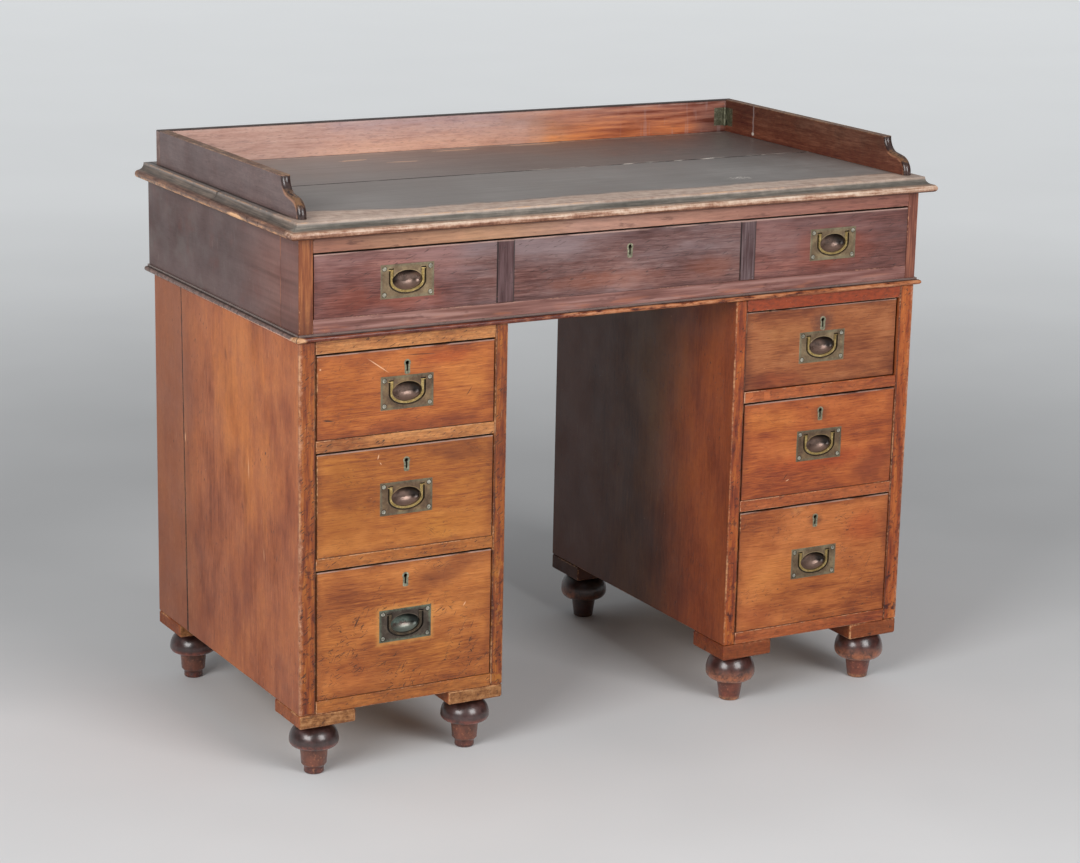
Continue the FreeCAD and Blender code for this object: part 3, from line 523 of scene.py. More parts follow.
# ------------------------------------------------------------- pedestal carcass
def side_finish(name, s, seed):
    g = Graph(name)
    x, y, z = g.x, g.y, g.z
    yf = y - YF
    E = E_LEFT
    col, h, pore, f1, f3 = wood(g, "z", seed, tone(132, 76, 52, E), tone(164, 102, 73, E), tone(182, 118, 80, E), fig=8.0, fib=1.7, mix=(0.2, 0.3, 0.5), spread=0.12)
    uv = g.uv(yf, z)
    # the outer board has bleached amber in streaks towards the front
    amber = g.noise(g.st("z", 230.0, 80.0, seed + 31), 4.0, 0.6)
    zone = g.ell(uv, 190.0, 490.0, 190.0, 270.0, -12.0).sm(1.2, 0.2)
    col = g.mix((amber * 1.3 + zone * 0.55 - 0.92).sm(0.0, 0.6) * 0.95, col, tone(208, 136, 76, E))
    brown = g.noise(g.st("z", 170.0, 100.0, seed + 32), 3.0, 0.6)
    col = g.mix(brown.sm(0.48, 0.66) * 0.85, col, times(g, col, (0.72, 0.6, 0.57)))
    back = (yf + (amber - 0.5) * 120.0).sm(300.0, 440.0)
    col = g.mix(back * 0.7, col, tone(142, 92, 71, E))
    col = g.mix(z.sm(360.0, 120.0) * 0.55, col, times(g, col, (0.84, 0.78, 0.78)))
    mott = g.noise(g.sc(8.0, seed + 36), 4.0, 0.7)
    col = g.shade(col, mott.lin(0.25, 0.75, 0.88, 1.12))
    col = times(g, col, (0.89, 0.79, 0.62))
    crack = (yf - 406.5 - (z - 100.0) * 0.0237).abs() + (mott - 0.5) * 2.4
    col = g.mix(crack.sm(z.lin(100.0, 560.0, 5.0, 2.2), 0.6) * (x * s).sm(480.0, 500.0) * x.sm(0.0, -1.0) * 0.9, col, rgb(28, 24, 26))
    # painted shade: the kneehole faces are darkened, and darkest towards the back
    knee = (x * s).sm(200.0, 190.0)
    deep = (yf + (amber - 0.5) * 90.0).sm(70.0, 250.0)
    col = g.mix(knee, col, times(g, col, (0.68, 0.50, 0.31)))
    col = g.mix(knee * deep, col, times(g, col, (0.33, 0.52, 0.88)))
    col = g.mix(knee * yf.sm(260.0, 450.0), col, times(g, col, (1.48, 1.12, 1.06)))
    # knots
    kn = g.marks(uv, [(252.0, 560.0, 13.0, 5.0, 80.0), (196.0, 352.0, 9.0, 4.0, 70.0), (330.0, 300.0, 10.0, 4.0, 85.0)], 0.2)
    col = g.mix(kn * 0.5, col, tone(92, 52, 36, E))
    pl = g.marks(uv, [(172.5, 412.0, 20.0, 1.6, 88.0), (120.0, 300.0, 12.0, 1.2, 84.0), (408.0, 402.0, 9.0, 3.0, 88.0)], 0.3)
    col = g.mix(pl * (1.0 - knee) * 0.7, col, tone(214, 168, 132, E))
    # stiles: the front edges of the boards
    stile = y.sm(YF + 3.0, YF + 1.0)
    s1 = g.noise(g.st("z", 60.0, 7.0, seed + 33), 4.0, 0.66)
    lowred = z.lin(560.0, 110.0)
    st_col = g.ramp(s1, [(0.32, tone(112, 58, 32)), (0.5, tone(160, 92, 54)), (0.68, tone(190, 124, 76))])
    st_in = g.ramp(s1, [(0.32, tone(106, 56, 34)), (0.5, tone(152, 86, 54)), (0.68, tone(186, 120, 66))])
    st_col = g.mix((x * s).sm(330.0, 350.0), st_in, st_col)
    grime = g.noise(g.sc(11.0, seed + 34), 4.0, 0.68).sm(0.53, 0.66)
    st_col = g.mix(grime * (lowred * 0.7 + 0.3), st_col, tone(76, 39, 25))
    # painted shade: a dark line on the stile face along the edges of the drawer openings
    st_col = g.mix((x * s - 206.3).abs().min((x * s - 481.7).abs()).sm(2.0, 0.5) * 0.6, st_col, INK_AND_SHADE)
    gold = g.noise(g.sc(16.0, seed + 37), 4.0, 0.65).sm(0.54, 0.66) * (x * s).sm(350.0, 330.0) * lowred
    st_col = g.mix(gold * 0.6, st_col, tone(200, 142, 84))
    st_col = g.shade(st_col, 1.0 - pore * 0.25)
    st_col = times(g, st_col, (0.87, 0.74, 0.36) if s < 0 else (1.04, 0.78, 0.46))
    col = g.mix(stile, col, st_col)
    # thick pale rubbed corner
    rim = yf.max(505.0 - (x * s)) + (g.noise(g.sc(7.0, seed + 38), 4.0, 0.7) - 0.5) * 12.0
    wear = g.noise(g.sc(60.0, seed + 39), 3.0).lin(0.3, 0.62, 0.25, 0.85)
    col = g.mix(rim.sm(6.0, 1.0) * wear, col, g.mix(mott.sm(0.35, 0.65), tone(150, 92, 62), tone(208, 158, 128)))
    rim2 = yf.max((x * s) - 188.0) + (g.noise(g.sc(6.0, seed + 40), 4.0, 0.7) - 0.5) * 5.0
    col = g.mix(rim2.sm(2.6, 0.5) * 0.45, col, g.mix(mott.sm(0.4, 0.6), tone(92, 54, 40), tone(196, 146, 112)))
    # knocks, scuffs and white specks
    k1 = dashes(g, "z", "x", 22.0, 1.6, 0.69, 0.77, seed + 41, 3.0)
    where = g.noise(g.sc(80.0, seed + 42), 2.0).sm(0.48, 0.66)
    col = g.mix(k1 * where * (0.5 - knee * 0.4), col, tone(210, 160, 118))
    k2 = dashes(g, "z", "x", 9.0, 2.0, 0.71, 0.79, seed + 43, -14.0) * g.noise(g.sc(70.0, seed + 44), 2.0).sm(0.43, 0.6)
    k3 = dashes(g, "x", "y", 7.0, 1.7, 0.65, 0.74, seed + 46, 35.0) * stile
    col = g.mix(k2.max(k3) * 0.85, col, rgb(48, 28, 22))
    sp = specks(g, 19.0, 0.06, seed + 45, 0.24)
    col = g.mix(sp * 0.65, col, tone(224, 190, 160))
    col, k = worn(g, col, tone(204, 152, 112), 2.4, seed, 0.10, 5.0)
    # painted shade: faces that look into the drawer openings are darkened
    inside = (x * s - 206.5).sm(0.0, 1.0) * (481.5 - x * s).sm(0.0, 1.0) * yf.sm(3.0, 8.0)
    col = g.mix(inside * 0.6, col, tone(60, 38, 28))
    rough = g.noise(g.sc(60.0, seed + 50), 3.0).lin(0.3, 0.7, 0.40, 0.54) + k * 0.1
    h = h - k2 * 0.3 + mott * 0.12 + g.noise(g.sc(70.0, seed + 51), 1.0) * 0.5
    return g.done(col, rough, h)


def rail_finish(name, seed, target, wear, red=None, patch=None, trim=None):
    g = Graph(name)
    col, h, pore, f1, f3 = wood(g, "x", seed, *trio(*target, k=1.2), fig=4.0)
    mott = g.noise(g.st("x", 9.0, 4.0, seed + 30), 4.0, 0.7)
    col = g.shade(col, mott.lin(0.28, 0.72, 0.68, 1.3))
    cloud = g.noise(g.st("x", 50.0, 22.0, seed + 31), 4.0, 0.65)
    col = g.mix(cloud.sm(0.54, 0.72) * 0.6, col, times(g, col, (0.62, 0.5, 0.44)))
    if red:
        col = g.mix(g.z.sm(*red[0]) * red[2], col, g.ramp(mott, [(0.28, g_scale(red[1], 0.55)), (0.72, g_scale(red[1], 1.45))]))
    if trim:
        col = g.mix(g.z.sm(trim[0] + 20.0, trim[0] - 20.0), times(g, col, trim[1]), times(g, col, trim[2]))
    if patch:
        for cu, cv, ru, rv in patch:
            k = ((g.x - cu).abs() - ru).max((g.z - cv).abs() - rv).sm(0.5, -0.5)
            col = g.mix(k * 0.5, col, tone(206, 118, 70))
    sp = specks(g, 11.0, 0.075, seed + 45, 0.3)
    col = g.mix(sp * 0.7, col, tone(226, 190, 156))
    k2 = dashes(g, "x", "y", 8.0, 1.6, 0.69, 0.77, seed + 43, 30.0)
    col = g.mix(k2 * 0.8, col, INK_AND_SHADE)
    col, k = worn(g, col, tone(214, 172, 140), 2.0, seed, wear, 4.5)
    # painted shade: the faces behind the front edge are painted near black so the gaps read dark
    yy = g.y - YF
    col = g.mix(yy.sm(1.6, 4.0) * 0.85, col, SHADE_BLACK)
    rough = g.noise(g.sc(40.0, seed + 50), 3.0).lin(0.3, 0.7, 0.36, 0.5) + k * 0.12
    return g.done(col, rough, h - k2 * 0.2 + mott * 0.1)


for s, side in ((-1, "left"), (1, "right")):
    ob = rebuilt(side + "_pedestal_sides", 2.0, wobble=0.6, split=16.0)
    finish_of(ob, side_finish("mahogany_%s_sides" % side, s, 61.0 + 17.0 * s))
    ob = rebuilt(side + "_pedestal_front_rails", 0.9, lambda c, lo, hi, e: c.y < YF + 12.0 and lo.y < YF + 1.0)
    finish_of(ob, rail_finish("mahogany_%s_rails" % side, 101.0 + 7.0 * s, (172, 108, 68) if s < 0 else (166, 92, 56), 0.22,
                              trim=(400.0, (1.16, 1.36, 1.34), (0.92, 0.86, 0.50)) if s < 0 else None,
                              red=None if s < 0 else ((600.0, 612.0), tone(146, 68, 46), 0.85),
                              patch=None if s < 0 else [(216.0, 480.5, 6.5, 7.0), (247.0, 480.5, 5.0, 6.0)]))


def block_finish(name, seed, target, golden):
    g = Graph(name)
    col, h, pore, f1, f3 = wood(g, "x", seed, *trio(*target, e=E_LEFT), fig=4.0)
    mott = g.noise(g.sc(7.0, seed + 31), 4.0, 0.72)
    col = g.shade(col, mott.lin(0.28, 0.72, 0.7, 1.3))
    if golden:
        face = g.nxyz()[1].sm(-0.5, -0.8)
        gold = g.ramp(mott * 0.6 + g.noise(g.st("x", 22.0, 3.0, seed + 32), 3.0) * 0.4,
                      [(0.34, tone(96, 60, 34)), (0.46, tone(146, 98, 58)), (0.56, tone(178, 128, 78)), (0.68, tone(198, 152, 102))])
        col = g.mix(face, col, times(g, gold, (0.86, 0.82, 0.96)))
    # painted shade: the inner rear block of the right pedestal is darkened nearly to black
    col = g.mix(g.x.sm(100.0, 110.0) * g.x.sm(345.0, 335.0) * (g.y - YF).sm(250.0, 300.0) * 0.9, col, times(g, col, (0.22, 0.20, 0.22)))
    dirt = g.noise(g.sc(9.0, seed + 33), 4.0, 0.7).sm(0.57, 0.68)
    low = g.z.sm(92.0, 82.0)
    col = g.mix(dirt * (low * 0.5 + 0.35), col, rgb(44, 26, 16))
    col, k = worn(g, col, tone(206, 156, 112), 3.0, seed, 0.12, 5.0)
    return g.done(col, g.noise(g.sc(20.0, seed + 50), 3.0).lin(0.3, 0.7, 0.5, 0.66), h - dirt * 0.3 + mott * 0.2)


for s, side in ((-1, "left"), (1, "right")):
    ob = rebuilt(side + "_pedestal_corner_blocks", 2.4, split=12.0, wobble=1.2)
    finish_of(ob, block_finish("worn_%s_blocks" % side, 217.0 + 6.0 * s, (136, 80, 54) if s < 0 else (118, 66, 44), s < 0))


def foot_finish(name, seed, bun, rim, collar, tip, z_rim, z_step, z_tip, z_top, reach):
    g = Graph(name)
    n = g.noise(g.sc(18.0, seed), 3.0, 0.6)
    n2 = g.noise(g.sc(11.0, seed + 2), 4.0, 0.68)
    n3 = g.noise(g.sc(3.6, seed + 3), 3.0, 0.6)
    zz = g.z + (n2 - 0.5) * 6.0
    col = g.ramp(n * 0.5 + n2 * 0.5, [(0.36, g_scale(bun, 0.38)), (0.5, bun), (0.64, g_scale(bun, 1.9))])
    lower = g.ramp(n * 0.4 + n2 * 0.3 + n3 * 0.3, [(0.36, g_scale(collar, 0.4)), (0.5, collar), (0.64, g_scale(collar, 1.6))])
    foot = g.ramp(n2 * 0.6 + n3 * 0.4, [(0.38, g_scale(tip, 0.4)), (0.5, tip), (0.62, g_scale(tip, 1.7))])
    rub = g.ramp(n3 * 0.5 + n2 * 0.5, [(0.38, g_scale(rim, 0.35)), (0.52, rim), (0.62, g_scale(rim, 1.3))])
    col = g.mix(zz.sm(z_rim + reach, z_rim + 1.5) * (n2.sm(0.3, 0.55) * 0.7 + 0.3), col, rub)
    col = g.mix(g.z.sm(z_step + 0.6, z_step - 0.6), col, lower)
    col = g.mix(zz.sm(z_tip + 2.0, z_tip - 2.0), col, foot)
    scuff = n3.sm(0.60, 0.70) * g.z.sm(z_rim + 8.0, z_rim)
    col = g.mix(scuff * 0.4, col, tone(204, 140, 96))
    # painted shade: the inner rear foot of the right pedestal is darkened nearly to black
    col = g.mix(g.x.sm(195.0, 200.0) * g.x.sm(345.0, 335.0) * (g.y - YF).sm(250.0, 300.0) * 0.9, col, times(g, col, (0.25, 0.24, 0.26)))
    # painted shade: black under the rim and where the bun meets its block
    col = g.mix((g.z - z_step).abs().sm(1.6, 0.2).max(g.z.sm(z_top - 8.0, z_top)) * 0.7, col, SHADE_BLACK)
    rough = g.z.lin(z_step - 3.0, z_step + 4.0, 0.50, 0.36) + n2.lin(0.3, 0.7, -0.03, 0.06)
    h = n2 * 0.16 - scuff * 0.2 + n3 * 0.04
    return g.done(col, rough, h, spec=0.5, coat=0.8, coat_rough=0.2)


keep("left_pedestal_feet", foot_finish("turned_left_feet", 301.0, rgb(60, 39, 37), rgb(132, 62, 44), rgb(106, 56, 36), rgb(84, 36, 25), 42.0, 40.9, 11.0, 76.0, 9.0))
keep("right_pedestal_feet", foot_finish("turned_right_feet", 311.0, rgb(68, 37, 32), rgb(166, 98, 62), rgb(110, 52, 34), rgb(134, 86, 58), 33.0, 31.9, 6.0, 76.0, 26.0))


# ----------------------------------------------------------------- frieze drawer
def frieze_finish():
    g = Graph("mahogany_frieze")
    seed = 401.0
    x, y, z = g.x, g.y, g.z
    col, h, pore, f1, f3 = wood(g, "x", seed, tone(84, 52, 49), tone(119, 85, 81), tone(146, 113, 109), fig=3.0, fib=1.2, mix=(0.28, 0.32, 0.40), spread=0.12)
    streak = g.noise(g.st("x", 90.0, 2.0, seed + 31), 4.0, 0.64)
    col = g.mix(streak.sm(0.52, 0.66) * 0.55, col, tone(66, 38, 38))
    red = g.noise(g.st("x", 120.0, 30.0, seed + 32), 3.0, 0.55)
    orange = red.sm(0.46, 0.66) * z.lin(735.0, 680.0, 0.15, 1.0)
    col = g.mix(orange * 0.45, col, times(g, col, (1.34, 1.02, 0.82)))
    # grey-mauve bloom, more towards the top: partly the bloom of the old polish, partly a painted sheen of reflected
    # light
    bloom = g.noise(g.st("x", 150.0, 34.0, seed + 33), 3.0, 0.6)
    bloom_and_sheen = (bloom * 1.2 + z.lin(680.0, 742.0, -0.12, 0.14) - 0.5).sm(0.0, 0.4)
    col = g.mix(bloom_and_sheen * 0.6, col, tone(146, 124, 126))
    # wiped patches beside the brasses
    uv = g.uv(x, z)
    wn = (g.noise(g.sc(24.0, seed + 34), 3.0) - 0.5) * 0.8
    for cx, cz, ru, rv, k in ((-428.0, 680.0, 44.0, 26.0, 0.25), (-345.0, 674.0, 70.0, 18.0, 0.3), (352.5, 694.0, 82.0, 40.0, 0.4), (-40.0, 676.0, 110.0, 16.0, 0.35), (140.0, 680.0, 60.0, 20.0, 0.3)):
        d = g.ell(uv, cx, cz, ru, rv) + wn
        col = g.mix(d.sm(1.1, 0.3) * k, col, tone(160, 92, 68))
    dk = g.ell(uv, 460.0, 690.0, 44.0, 60.0) + wn
    col = g.mix(dk.sm(1.2, 0.4) * 0.7, col, times(g, col, (0.66, 0.56, 0.54)))
    # dark, grimy outer margin
    em = (z - 658.0).min(744.0 - z).min(x + 483.0).min(486.0 - x)
    col = g.mix((em + (bloom - 0.5) * 24.0).sm(9.0, -2.0) * 0.55, col, times(g, col, (0.6, 0.5, 0.5)))
    mid = x.sm(-290.0, -230.0) * x.sm(210.0, 190.0)
    col = g.mix(mid, times(g, col, (1.12, 0.93, 0.85)), times(g, col, (0.97, 1.07, 1.08)))
    col = g.mix(x.sm(228.0, 330.0), col, times(g, col, (0.80, 0.76, 0.76)))
    # the cross-grain strips
    s1 = g.ramp(g.noise(g.st("z", 60.0, 3.4, seed + 35), 3.0, 0.62), [(0.32, tone(74, 50, 51)), (0.5, tone(99, 76, 77)), (0.68, tone(120, 98, 99))])
    in1 = (x + 194.5).abs().sm(13.0, 12.4)
    in2 = (x - 203.0).abs().sm(12.5, 11.9)
    col = g.mix(in1, col, times(g, s1, (0.85, 0.75, 0.75)))
    col = g.mix(in2, col, times(g, s1, (0.97, 1.1, 1.1)))
    # dark lines each side of the strips
    l1 = ((x + 194.5).abs() - 12.9).abs()
    l2 = ((x - 203.0).abs() - 12.4).abs()
    col = g.mix(l1.min(l2).sm(1.7, 0.4) * 0.85, col, rgb(30, 20, 20))
    k1 = dashes(g, "x", "y", 12.0, 1.4, 0.70, 0.78, seed + 41, 20.0)
    col = g.mix(k1 * 0.6, col, rgb(38, 24, 22))
    sp = specks(g, 14.0, 0.055, seed + 42, 0.25)
    col = g.mix(sp * 0.6, col, tone(212, 180, 164))
    col, k = worn(g, col, tone(188, 128, 102), 1.6, seed, 0.0, 5.0)
    # painted highlight: a pale broken line along the top arris, standing in for the light's sheen on it
    tn = g.noise(g.st("x", 50.0, 6.0, seed + 61), 3.0)
    col = g.mix((744.6 - z).sm(2.6, 0.5) * tn.sm(0.32, 0.5) * 0.8, col, tone(198, 166, 154))
    # painted shade: the sides of the board and the inside of the keyhole are painted near black, standing in for the
    # dark of the gap and the hole
    yy = y - YF
    col = g.mix(yy.sm(1.4, 3.6) * yy.sm(17.0, 13.0) * 0.9, col, SHADE_BLACK)
    col = g.mix(g.ell(uv, 4.5, 715.5, 6.5, 12.0).sm(1.0, 0.9) * yy.sm(0.5, 1.2), col, SHADE_BLACK)
    rough = g.noise(g.st("x", 90.0, 30.0, seed + 50), 3.0).lin(0.3, 0.7, 0.30, 0.44) + k * 0.1
    return g.done(col, rough, h - k1 * 0.2 + f1 * 0.12)


ob = rebuilt("frieze_drawer_front", 1.1, lambda c, lo, hi, e: c.y < YF + 12.0)
finish_of(ob, frieze_finish())


# ------------------------------------------------------------------ top section
def top_rail_finish():
    g = Graph("mahogany_top_rails")
    seed = 451.0
    col, h, pore, f1, f3 = wood(g, "x", seed, tone(120, 72, 56), tone(168, 114, 90), tone(200, 150, 122), fig=4.0)
    mott = g.noise(g.st("x", 26.0, 3.4, seed + 29), 4.0, 0.7)
    col = g.shade(col, mott.lin(0.28, 0.72, 0.72, 1.26))
    along = g.x + (g.noise(g.sc(90.0, seed + 30), 3.0) - 0.5) * 160.0
    fade = g.ramp(along.lin(-500.0, 500.0), [(0.05, tone(150, 104, 88)), (0.25, tone(186, 144, 112)), (0.43, tone(186, 146, 130)),
                                             (0.60, tone(176, 131, 114)), (0.78, tone(158, 112, 101)), (0.95, tone(140, 90, 82))])
    thin = g.noise(g.st("x", 90.0, 5.0, seed + 31), 3.0)
    fade = g.shade(fade, (f1 * 0.3 + mott * 0.4 + thin * 0.3).lin(0.30, 0.70, 0.62, 1.38))
    col = g.mix(pore * 0.2 + 0.8, col, fade)
    # painted shadow: a dark band along the top of the upper rail, under the nosing
    col = g.mix((g.z + (mott - 0.5) * 4.0).sm(763.0, 767.0) * 0.75, col, tone(70, 42, 32))
    mauve = g.ramp(g.noise(g.st("x", 120.0, 5.0, seed + 32), 3.0), [(0.34, tone(104, 68, 63)), (0.5, tone(134, 93, 87)), (0.66, tone(162, 124, 116))])
    col = g.mix(g.z.sm(690.0, 665.0) * 0.92, col, mauve)
    dirt = g.noise(g.st("x", 36.0, 7.0, seed + 33), 4.0, 0.65).sm(0.56, 0.7)
    col = g.mix(dirt * 0.5, col, tone(78, 48, 40))
    worn_low = g.noise(g.st("x", 60.0, 10.0, seed + 34), 3.0).sm(0.54, 0.66) * g.z.sm(652.0, 642.0)
    col = g.mix(worn_low * 0.5, col, tone(176, 112, 86))
    sp = specks(g, 12.0, 0.06, seed + 42, 0.25)
    col = g.mix(sp * 0.6, col, tone(224, 194, 172))
    col, k = worn(g, col, tone(206, 160, 130), 2.0, seed, 0.04, 4.5)
    # painted shade: the faces behind the front edge are painted near black so the gaps read dark
    yy = g.y - YF
    col = g.mix(yy.sm(1.6, 4.0) * 0.85, col, SHADE_BLACK)
    return g.done(col, g.noise(g.sc(40.0, seed + 50), 3.0).lin(0.3, 0.7, 0.32, 0.46), h)


ob = rebuilt("top_front_rails", 0.9, lambda c, lo, hi, e: c.y < YF + 12.0 and lo.y < YF + 1.0)
finish_of(ob, top_rail_finish())


def end_finish():
    g = Graph("mahogany_top_ends")
    seed = 471.0
    E = E_LEFT
    yf = g.y - YF
    col, h, pore, f1, f3 = wood(g, "y", seed, tone(92, 74, 71, E), tone(107, 89, 86, E), tone(120, 102, 98, E), fig=9.0, mix=(0.15, 0.2, 0.65))
    front = (yf + (f3 - 0.5) * 120.0).sm(230.0, 50.0)
    col = g.mix(front * 0.8, col, g.ramp(f1, [(0.34, tone(112, 80, 70, E)), (0.66, tone(142, 106, 96, E))]))
    grey = g.noise(g.sc(60.0, seed + 31), 4.0, 0.62).sm(0.48, 0.7) * yf.sm(120.0, 420.0)
    col = g.mix(grey * 0.6, col, tone(120, 112, 107, E))
    red = g.noise(g.sc(48.0, seed + 32), 4.0, 0.62).sm(0.52, 0.7)
    col = g.mix(red * 0.4, col, tone(116, 76, 68, E))
    mott = g.noise(g.sc(7.0, seed + 36), 4.0, 0.7)
    col = g.shade(col, mott.lin(0.28, 0.72, 0.92, 1.08))
    scuff = dashes(g, "z", "x", 26.0, 3.0, 0.68, 0.80, seed + 41, 8.0)
    col = g.mix(scuff * 0.22, col, tone(158, 146, 138, E))
    col = times(g, col, (0.77, 0.71, 0.72))
    col = g.mix(yf.sm(110.0, 260.0), col, times(g, col, (0.88, 0.88, 0.88)))
    col = g.mix(yf.sm(62.0, 58.0), col, times(g, col, (0.88, 0.81, 0.80)))
    # the post's face is orange-brown with grain on end
    post = g.y.sm(YF + 3.0, YF + 1.0)
    pn = g.noise(g.st("z", 70.0, 4.0, seed + 33), 4.0, 0.64)
    pc = g.ramp(pn, [(0.32, tone(104, 58, 36)), (0.5, tone(148, 88, 56)), (0.68, tone(182, 120, 76))])
    pc = g.mix((g.z + (mott - 0.5) * 60.0).sm(690.0, 640.0) * 0.6, pc, tone(96, 56, 40))
    pc = times(g, pc, (0.85, 0.79, 0.74))
    pr = g.ramp(pn, [(0.32, tone(92, 54, 46)), (0.5, tone(126, 78, 66)), (0.68, tone(160, 104, 80))])
    pc = g.mix(g.x.sm(-50.0, 50.0), pc, pr)
    col = g.mix(post, col, pc)
    # worn pale line in the joint behind the post
    joint = (yf - 60.3).abs()
    col = g.mix(joint.sm(2.0, 0.5) * g.noise(g.st("z", 26.0, 5.0, seed + 35), 3.0).sm(0.44, 0.62) * 0.6, col, tone(178, 124, 98, E))
    col = g.mix(joint.sm(1.1, 0.3) * 0.8, col, rgb(30, 20, 18))
    sp = specks(g, 22.0, 0.05, seed + 42, 0.25)
    col = g.mix(sp * 0.7, col, tone(214, 200, 188, E))
    col, k = worn(g, col, tone(204, 152, 116, E), 2.0, seed, 0.0, 5.0)
    return g.done(col, g.noise(g.sc(50.0, seed + 50), 3.0).lin(0.3, 0.7, 0.40, 0.54) + k * 0.1, h + mott * 0.1)


ob = rebuilt("top_end_panels", 1.4)
finish_of(ob, end_finish())


def base_finish():
    g = Graph("mahogany_base_moulding")
    seed = 491.0
    x, y, z = g.x, g.y, g.z
    n = g.noise(g.st("x", 46.0, 6.0, seed), 4.0, 0.65)
    n2 = g.noise(g.st("x", 20.0, 7.0, seed + 2), 4.0, 0.66)
    t = n * 0.6 + n2 * 0.4
    front = g.ramp(t, [(0.36, tone(70, 34, 28)), (0.5, tone(108, 58, 46)), (0.64, tone(142, 86, 70))])
    # rubbed through over the kneehole and at the right
    rub = (x.lin(-230.0, -20.0) * 0.5 + (n2 - 0.5) * 1.5 + (n - 0.5) * 1.3).sm(0.12, 0.6) * z.sm(635.6, 633.6)
    col = g.mix(rub * 0.9, front, g.ramp(t, [(0.38, tone(150, 88, 58)), (0.5, tone(182, 116, 78)), (0.62, tone(206, 150, 112))]))
    side = g.ramp(t, [(0.36, tone(84, 68, 63, E_LEFT)), (0.5, tone(108, 90, 84, E_LEFT)), (0.66, tone(140, 112, 104, E_LEFT))])
    is_side = (x.abs() - 505.0).sm(-0.5, 1.0) * (y - YF).sm(-6.0, 6.0)
    col = g.mix(is_side, col, side)
    low = (z.sm(632.0, 628.5) + (n2 - 0.5) * 1.5 + (y - YF).lin(60.0, 420.0, 0.3, -0.3)).sm(0.55, 0.95)
    col = g.mix(low * is_side * 0.8, col, tone(214, 168, 146, E_LEFT))
    # grey square along the top, with painted shade in the quirk under it
    col = g.mix(z.sm(634.6, 635.4) * 0.7, col, g.mix(n2, tone(92, 80, 76), tone(150, 136, 130)))
    col = g.mix((z - 634.9).abs().sm(0.7, 0.2) * 0.7, col, rgb(26, 16, 15))
    # the left front corner is broken back to bare wood on both sides of the mitre
    d = g.vm("LENGTH", g.vm("MULTIPLY", g.vm("SUBTRACT", g.P, (-510.0, YF - 5.0, 630.6)), (1 / 14.0, 1 / 20.0, 1 / 5.5)))
    bare = (d + (n2 - 0.5) * 0.8).sm(1.05, 0.75)
    col = g.mix(bare, col, g.ramp(n2, [(0.4, tone(178, 122, 84)), (0.6, tone(226, 182, 142))]))
    mitre = ((x + 505.0) - (y - YF)).abs().sm(1.1, 0.4) * x.sm(-500.0, -505.0)
    col = g.mix(mitre * 0.9, col, rgb(24, 15, 12))
    return g.done(col, n2.lin(0.3, 0.7, 0.24, 0.38) + bare * 0.3, n2 * 0.08 - bare * 0.4)


keep("top_base_moulding", base_finish())


